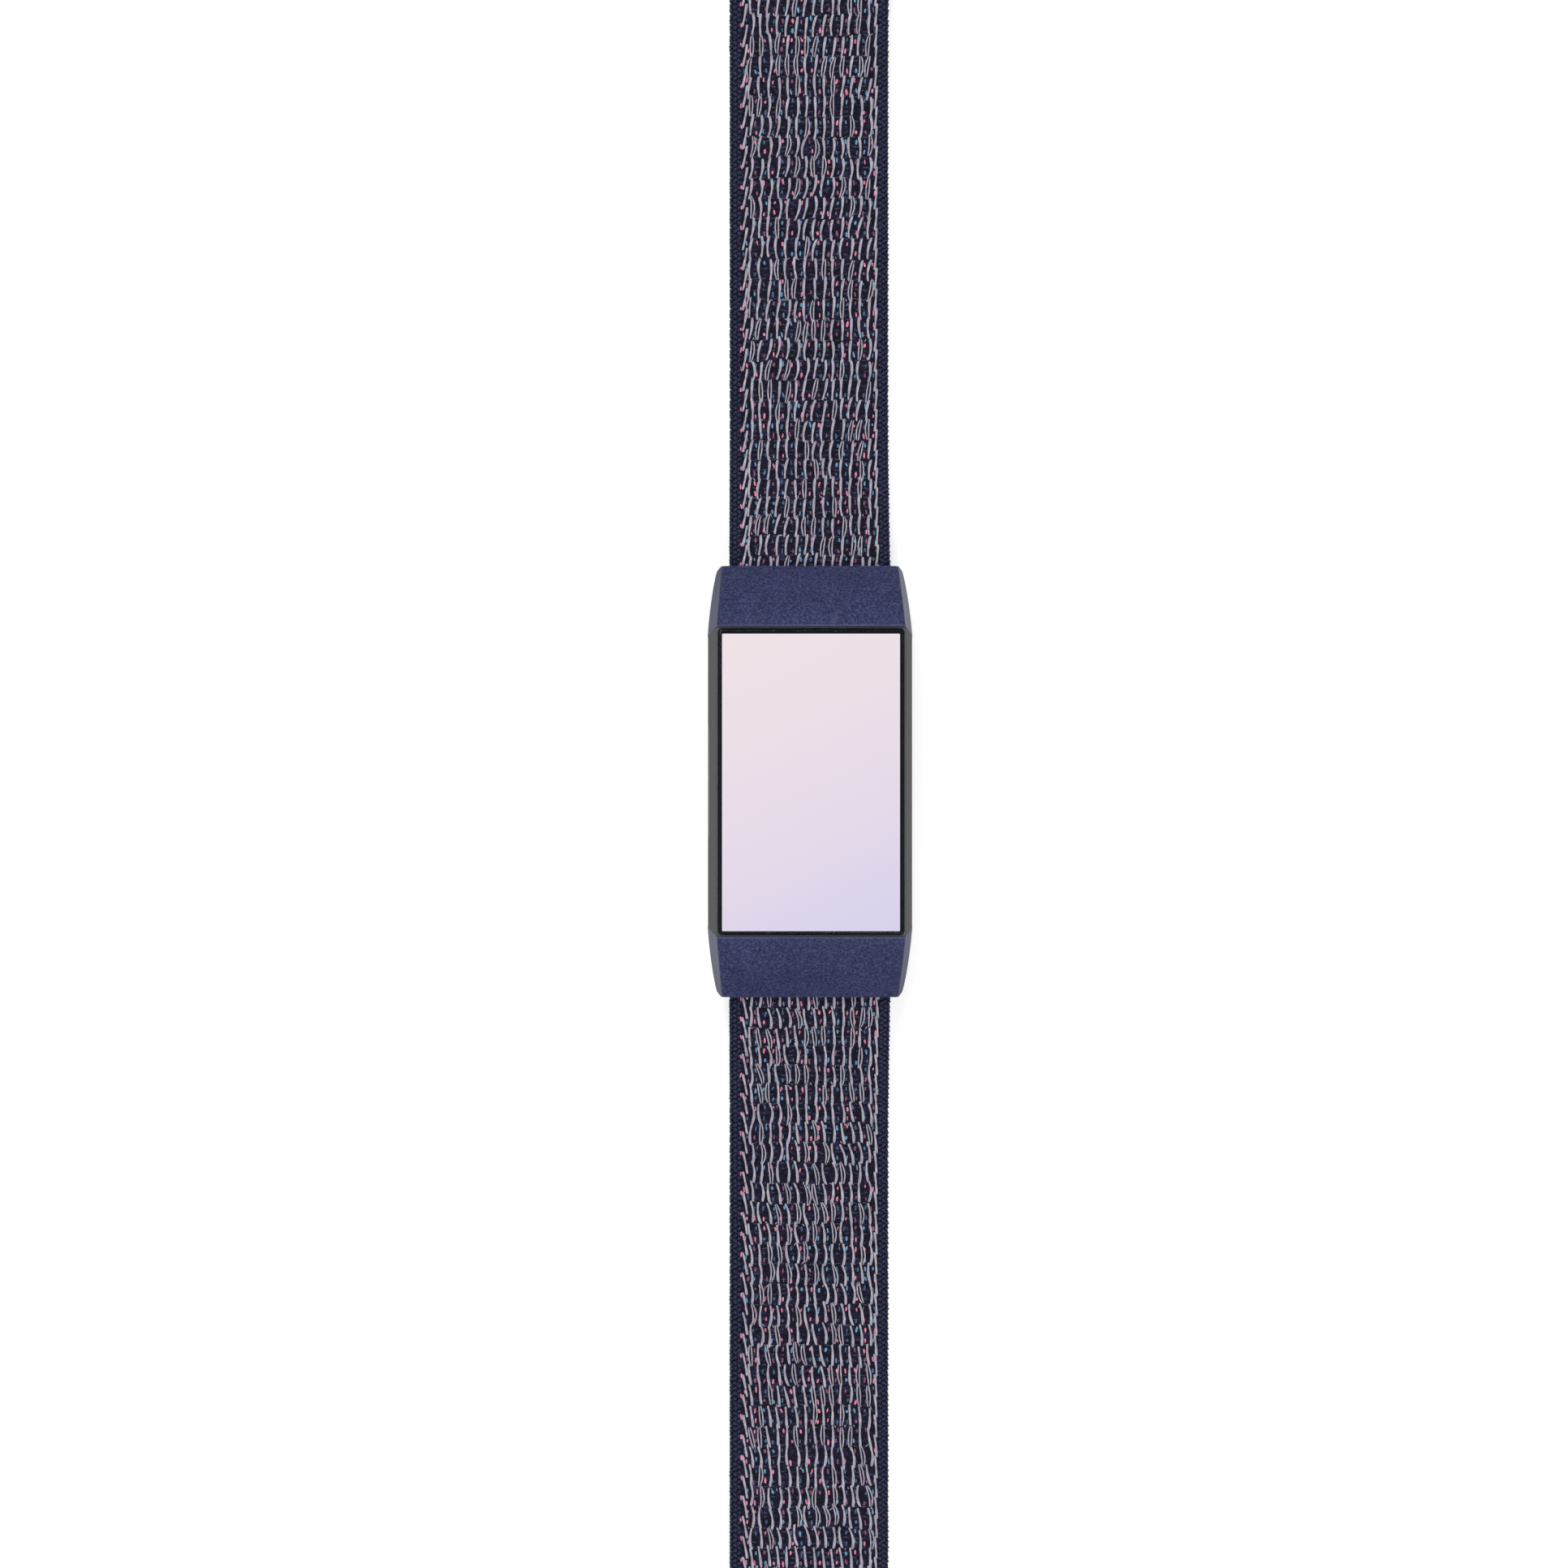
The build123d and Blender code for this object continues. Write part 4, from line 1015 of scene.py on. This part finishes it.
def weave_piece(strip, span, name, layers, materials):
    """Joins the layers' yarns within a span into one mesh and bakes its placement into it."""
    vertices, quads, slots = [], [], []
    offset = 0
    for layer in layers:
        placed, template, tones = layer.in_span(strip, span)
        if not len(placed):
            continue
        points, joined = repeated(placed, template)
        vertices.append(points)
        quads.append(outward(points, joined) + offset)
        slots.append(np.repeat(tones, len(template)))
        offset += len(points)
    if vertices:
        faces = polygons(np.concatenate(quads))
        piece = mesh_piece(name, np.concatenate(vertices), faces, materials, np.concatenate(slots))
        bend_piece(piece)


def webbing(strip, spans, seed):
    """All yarns of one strap, laid out once for the whole strap and cut into its spans."""
    rng = np.random.default_rng(seed)
    cords = cord_paths(strip, rng)
    inner_cords = inner_cord_paths(strip, rng)
    *flecks, tones = fleck_layout(strip, rng, FLECK_SHARE)
    *inner_flecks, inner_tones = fleck_layout(strip, rng, INNER_FLECK_SHARE)
    ties = tie_layout(strip, rng)
    knit = selvedge_layout(strip, rng)
    sides = side_knit_layout(strip, rng)
    wefts = weft_layout(strip, rng)
    slate = np.full(len(wefts[0]), len(FLECKS) - 1)
    pieces = (
        ("cords", [CORD], (
            Layer(cord_shapes, cords),
            Layer(cord_shapes, inner_cords, face=-1),
            Layer(blob_shapes, ties, margin=0.2),
        )),
        ("flecks", list(FLECKS), (
            Layer(blob_shapes, flecks, margin=0.2, tones=tones),
            Layer(blob_shapes, inner_flecks, face=-1, margin=0.2, tones=inner_tones),
            Layer(blob_shapes, wefts, margin=0.2, tones=slate),
        )),
        ("edges", [KNIT_NAVY], (
            Layer(blob_shapes, knit, covered=False),
            Layer(blob_shapes, knit, face=-1),
            Layer(blob_shapes, sides, covered=False),
        )),
    )
    for span in spans:
        tucks = (span is not spans[0], span is not spans[-1])
        vertices, quads = ground_mesh(strip, span.start, span.end, *tucks)
        ground = mesh_piece(f"{span.name}_ground", vertices, quads, [GROUND])
        bend_piece(ground)
        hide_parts(*span.nodes)
        for part, materials, layers in pieces:
            weave_piece(strip, span, f"{span.name}_{part}", layers, materials)


# Hook patch and stitches


def hook_patch():
    """Hook tape over the last two tail segments: a thin base with rows of small bent hooks."""
    start = box_mm("hook_patch_outer")[0][1]
    half, end, hook_top = box_mm("hook_patch_inner")[1]
    base_z = (THICKNESS - FACE_DROP - 0.02, THICKNESS + TAPE_RISE)
    rng = np.random.default_rng(41)
    vertices, quads = tape_mesh(half, start, end, base_z)
    t = np.linspace(0, 1, 6)
    hooks = []
    for row, y in enumerate(np.arange(start + 0.8, end - 0.7, HOOK_ROW)):
        for x in np.arange(-half + 0.8, half - 0.7, HOOK_COLUMN):
            x0 = x + (0.2 if row % 2 else -0.2) + rng.normal(0, 0.02)
            reach = HOOK_REACH * (1 if row % 2 else -1)
            bend = np.sin(pi * 0.85 * t)
            path_x = x0 + reach * (1 - np.cos(pi * 0.85 * t)) / 2
            path_z = base_z[1] - 0.05 + (hook_top - base_z[1]) * np.where(t < 0.55, bend, 0.6 + 0.4 * bend)
            hooks.append(np.stack([path_x, np.full_like(t, y + rng.normal(0, 0.02)), path_z], axis=-1))
    hooks = np.array(hooks)
    sides = 5
    turn = np.arange(sides) / sides * 2 * pi
    radius = np.interp(t, [0, 0.4, 1], [0.13, 0.09, 0.07])
    step = np.gradient(hooks, axis=1)
    step /= np.linalg.norm(step, axis=-1, keepdims=True)
    side = np.array([0.0, 1.0, 0.0])
    other = np.cross(step, side)
    sideways = radius[:, None, None] * np.cos(turn)[:, None] * side
    upwards = radius[:, None, None] * np.sin(turn)[:, None] * other[:, :, None]
    rings = hooks[:, :, None] + sideways + upwards
    points, joined = repeated(rings.reshape(len(hooks), -1, 3), tube_faces(len(t), sides))
    joined = polygons(outward(points, joined) + len(vertices))
    everything = np.concatenate([vertices, points])
    piece = mesh_piece("hook_patch", everything, quads + joined, [MATERIALS["hook"]])
    bend_tail_end(piece)
    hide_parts("hook_patch_inner", "hook_patch_outer")


def tape_mesh(half, start, end, z):
    """The tape's base: a closed slab with enough rows to bend, and softened rims."""
    rows = np.linspace(start, end, 60)
    soft = 0.1
    low, high = z
    outline = [(-half, low), (half, low), (half, high - soft)]
    outline += [(half - soft, high), (-half + soft, high), (-half, high - soft)]
    vertices = [(x, y, height) for y in rows for x, height in outline]
    count = len(outline)
    quads = []
    for i in range(len(rows) - 1):
        for k in range(count):
            nxt = (k + 1) % count
            quads.append([i * count + k, i * count + nxt, (i + 1) * count + nxt, (i + 1) * count + k])
    quads.append(list(range(count))[::-1])
    quads.append(list(range((len(rows) - 1) * count, len(rows) * count)))
    flipped = [quad[::-1] for quad in quads]
    return np.array(vertices), flipped


def bend_tail_end(piece):
    """Bakes the placement of a piece on the tail's end into its mesh."""
    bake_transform(piece)


def stitches(name, node):
    """Rounded thread stitches in place of a CAD node's plain bars."""
    parts = loose_parts(frame["nodes"][node].data)
    template, faces = ellipsoid_template(8, 7)
    power = np.sign(template) * np.abs(template) ** 0.75
    shapes = []
    for points in parts:
        centre = points.mean(axis=0)
        spread = np.linalg.svd(points - centre, full_matrices=False)
        size = np.abs((points - centre) @ spread[2].T).max(axis=0)
        size[2] = max(size[2], 0.12)
        shapes.append(centre + (power * size * 1.02) @ spread[2])
    points, joined = repeated(np.array(shapes), faces)
    piece = mesh_piece(name, points, polygons(joined), [THREAD])
    fix_normals(piece)
    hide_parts(node)
    return piece


def fix_normals(obj):
    """Faces each closed part of a mesh outwards."""
    work = bmesh.new()
    work.from_mesh(obj.data)
    bmesh.ops.recalc_face_normals(work, faces=work.faces)
    work.to_mesh(obj.data)
    work.free()


def loose_parts(mesh):
    """The points of each separate solid in a mesh, in millimetres."""
    count = len(mesh.vertices)
    points = np.zeros(count * 3)
    mesh.vertices.foreach_get("co", points)
    points = points.reshape(-1, 3) / MM
    keys = {}
    merged = np.array([keys.setdefault(tuple(np.round(p, 4)), len(keys)) for p in points])
    parent = list(range(len(keys)))

    def root(i):
        while parent[i] != i:
            parent[i] = parent[parent[i]]
            i = parent[i]
        return i

    for edge in mesh.edges:
        a, b = (root(merged[v]) for v in edge.vertices)
        parent[a] = b
    groups = {}
    for i in range(count):
        groups.setdefault(root(merged[i]), []).append(points[i])
    return [np.unique(np.round(group, 4), axis=0) for group in groups.values()]


# Scene


def floor_marker(body, y, z):
    """A point that rides on a body, which the floor stays under."""
    marker = link(bpy.data.objects.new(f"floor_marker_{body}_{abs(round(y))}_{round(z)}", None))
    marker.location = (0, y * MM, z * MM)
    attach(marker, body)
    return marker


def studio_white():
    """White to the camera, an even dim glow to all it lights, and open to a camera below it."""
    finish = Finish("studio_white")
    shade = finish.noise(40.0, 2.0)
    finish.surface({
        "Base Color": finish.ramp(shade, (0.3, grey(0.80)), (0.7, grey(0.82))),
        "Roughness": 0.9,
        "Emission Color": grey(1),
        "Emission Strength": FLOOR_GLOW,
    })
    camera_ray = finish.add("LightPath").outputs["Is Camera Ray"]
    bounce = finish.add("Emission", {"Strength": FLOOR_BOUNCE})
    seen = finish.mixed_shaders(camera_ray, bounce, finish.shader)
    from_below = finish.add("NewGeometry").outputs["Backfacing"]
    finish.output(finish.mixed_shaders(from_below, seen, finish.add("BsdfTransparent")))
    return finish.made


def floor_points():
    """(body, y) of the lowest places of the band in any pose: its ends and bending lines."""
    places = [("ring", box_mm("buckle_ring")[1][1])]
    for end, side in (("upper", 1), ("lower", -1)):
        places.append((f"{end}_connector", side * box_mm("upper_connector")[0][1]))
        places += [(f"{end}_band_{n + 1}", side * y) for n, y in enumerate(CURL_Y)]
        places.append((f"{end}_band_5", side * FOLD_Y))
    places.append(("tail_1", -FOLD_Y - FOLD_BEND))
    places += [(f"tail_{n + 1}", -y) for n, y in enumerate(TAIL_Y)]
    places.append(("tail_4", box_mm("tip_tab")[0][1]))
    return places


def studio_floor():
    """A wide floor that keeps just under the lowest part of the object in every pose."""
    bpy.ops.mesh.primitive_plane_add(size=FLOOR_SIZE)
    floor = bpy.context.object
    floor.name = "studio_floor"
    floor.data.materials.append(studio_white())
    heights = (0, THICKNESS + 2)
    markers = [floor_marker(body, y, z) for body, y in floor_points() for z in heights]
    driver = floor.driver_add("location", 2).driver
    driver.type = "SCRIPTED"
    names = []
    for number, marker in enumerate(markers):
        variable = driver.variables.new()
        variable.name = f"m{number}"
        variable.type = "TRANSFORMS"
        variable.targets[0].id = marker
        variable.targets[0].transform_type = "LOC_Z"
        variable.targets[0].transform_space = "WORLD_SPACE"
        names.append(variable.name)
    driver.expression = f"min({', '.join(names)}) * 1.01 - 0.0003"


def studio():
    """A white floor and backdrop, soft light all round and two large soft lamps."""
    studio_floor()
    world = bpy.data.worlds.new("studio")
    bpy.context.scene.world = world
    world.use_nodes = True
    tree = NodeTree(world.node_tree)
    sky = tree.nodes["Background"]
    tree.put(sky, {"Color": grey(1), "Strength": SKY_LIGHT})
    backdrop = tree.add("Background", {"Color": grey(1)})
    camera_ray = tree.add("LightPath").outputs["Is Camera Ray"]
    mixed = tree.mixed_shaders(camera_ray, sky, backdrop)
    tree.put(tree.nodes["World Output"], {"Surface": mixed.outputs[0]})
    soft_box("soft_box_left", (-0.34, 0.42, 0.72), 4.9)
    soft_box("soft_box_right", (0.30, -0.45, 0.74), 4.1)


def soft_box(name, place, energy):
    """A large soft lamp that faces the tracker."""
    lamp = bpy.data.lights.new(name, "AREA")
    lamp.shape = "RECTANGLE"
    lamp.size, lamp.size_y = 0.7, 0.5
    lamp.energy = energy
    holder = link(bpy.data.objects.new(name, lamp))
    holder.location = place
    holder.rotation_euler = (-Vector(place)).to_track_quat("-Z", "Y").to_euler()


def camera():
    """Straight above the display, a little to its left, with the lens shifted to frame the tracker."""
    lens = bpy.data.cameras.new("camera")
    lens.sensor_width = SENSOR
    lens.lens = SENSOR * CAMERA_DISTANCE / VIEW_WIDTH
    lens.shift_x = (-CAMERA_X - FRAME_X) / VIEW_WIDTH
    lens.clip_start = 0.01
    lens.clip_end = 10
    holder = link(bpy.data.objects.new("camera", lens))
    holder.location = (CAMERA_X * MM, CAMERA_Y * MM, (WIDEST_Z + CAMERA_DISTANCE) * MM)
    holder.rotation_euler = (0, 0, 0)
    bpy.context.scene.camera = holder


dress_cad_nodes()
upper = upper_strip()
lower = lower_strip()
webbing(upper, upper_spans(upper), 7)
webbing(lower, lower_spans(lower), 19)
hook_patch()
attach(stitches("ring_stitches", "ring_stitching"), "upper_band_5")
bend_tail_end(stitches("patch_stitches", "patch_stitching"))
studio()
camera()
bpy.context.scene.view_settings.view_transform = "Standard"
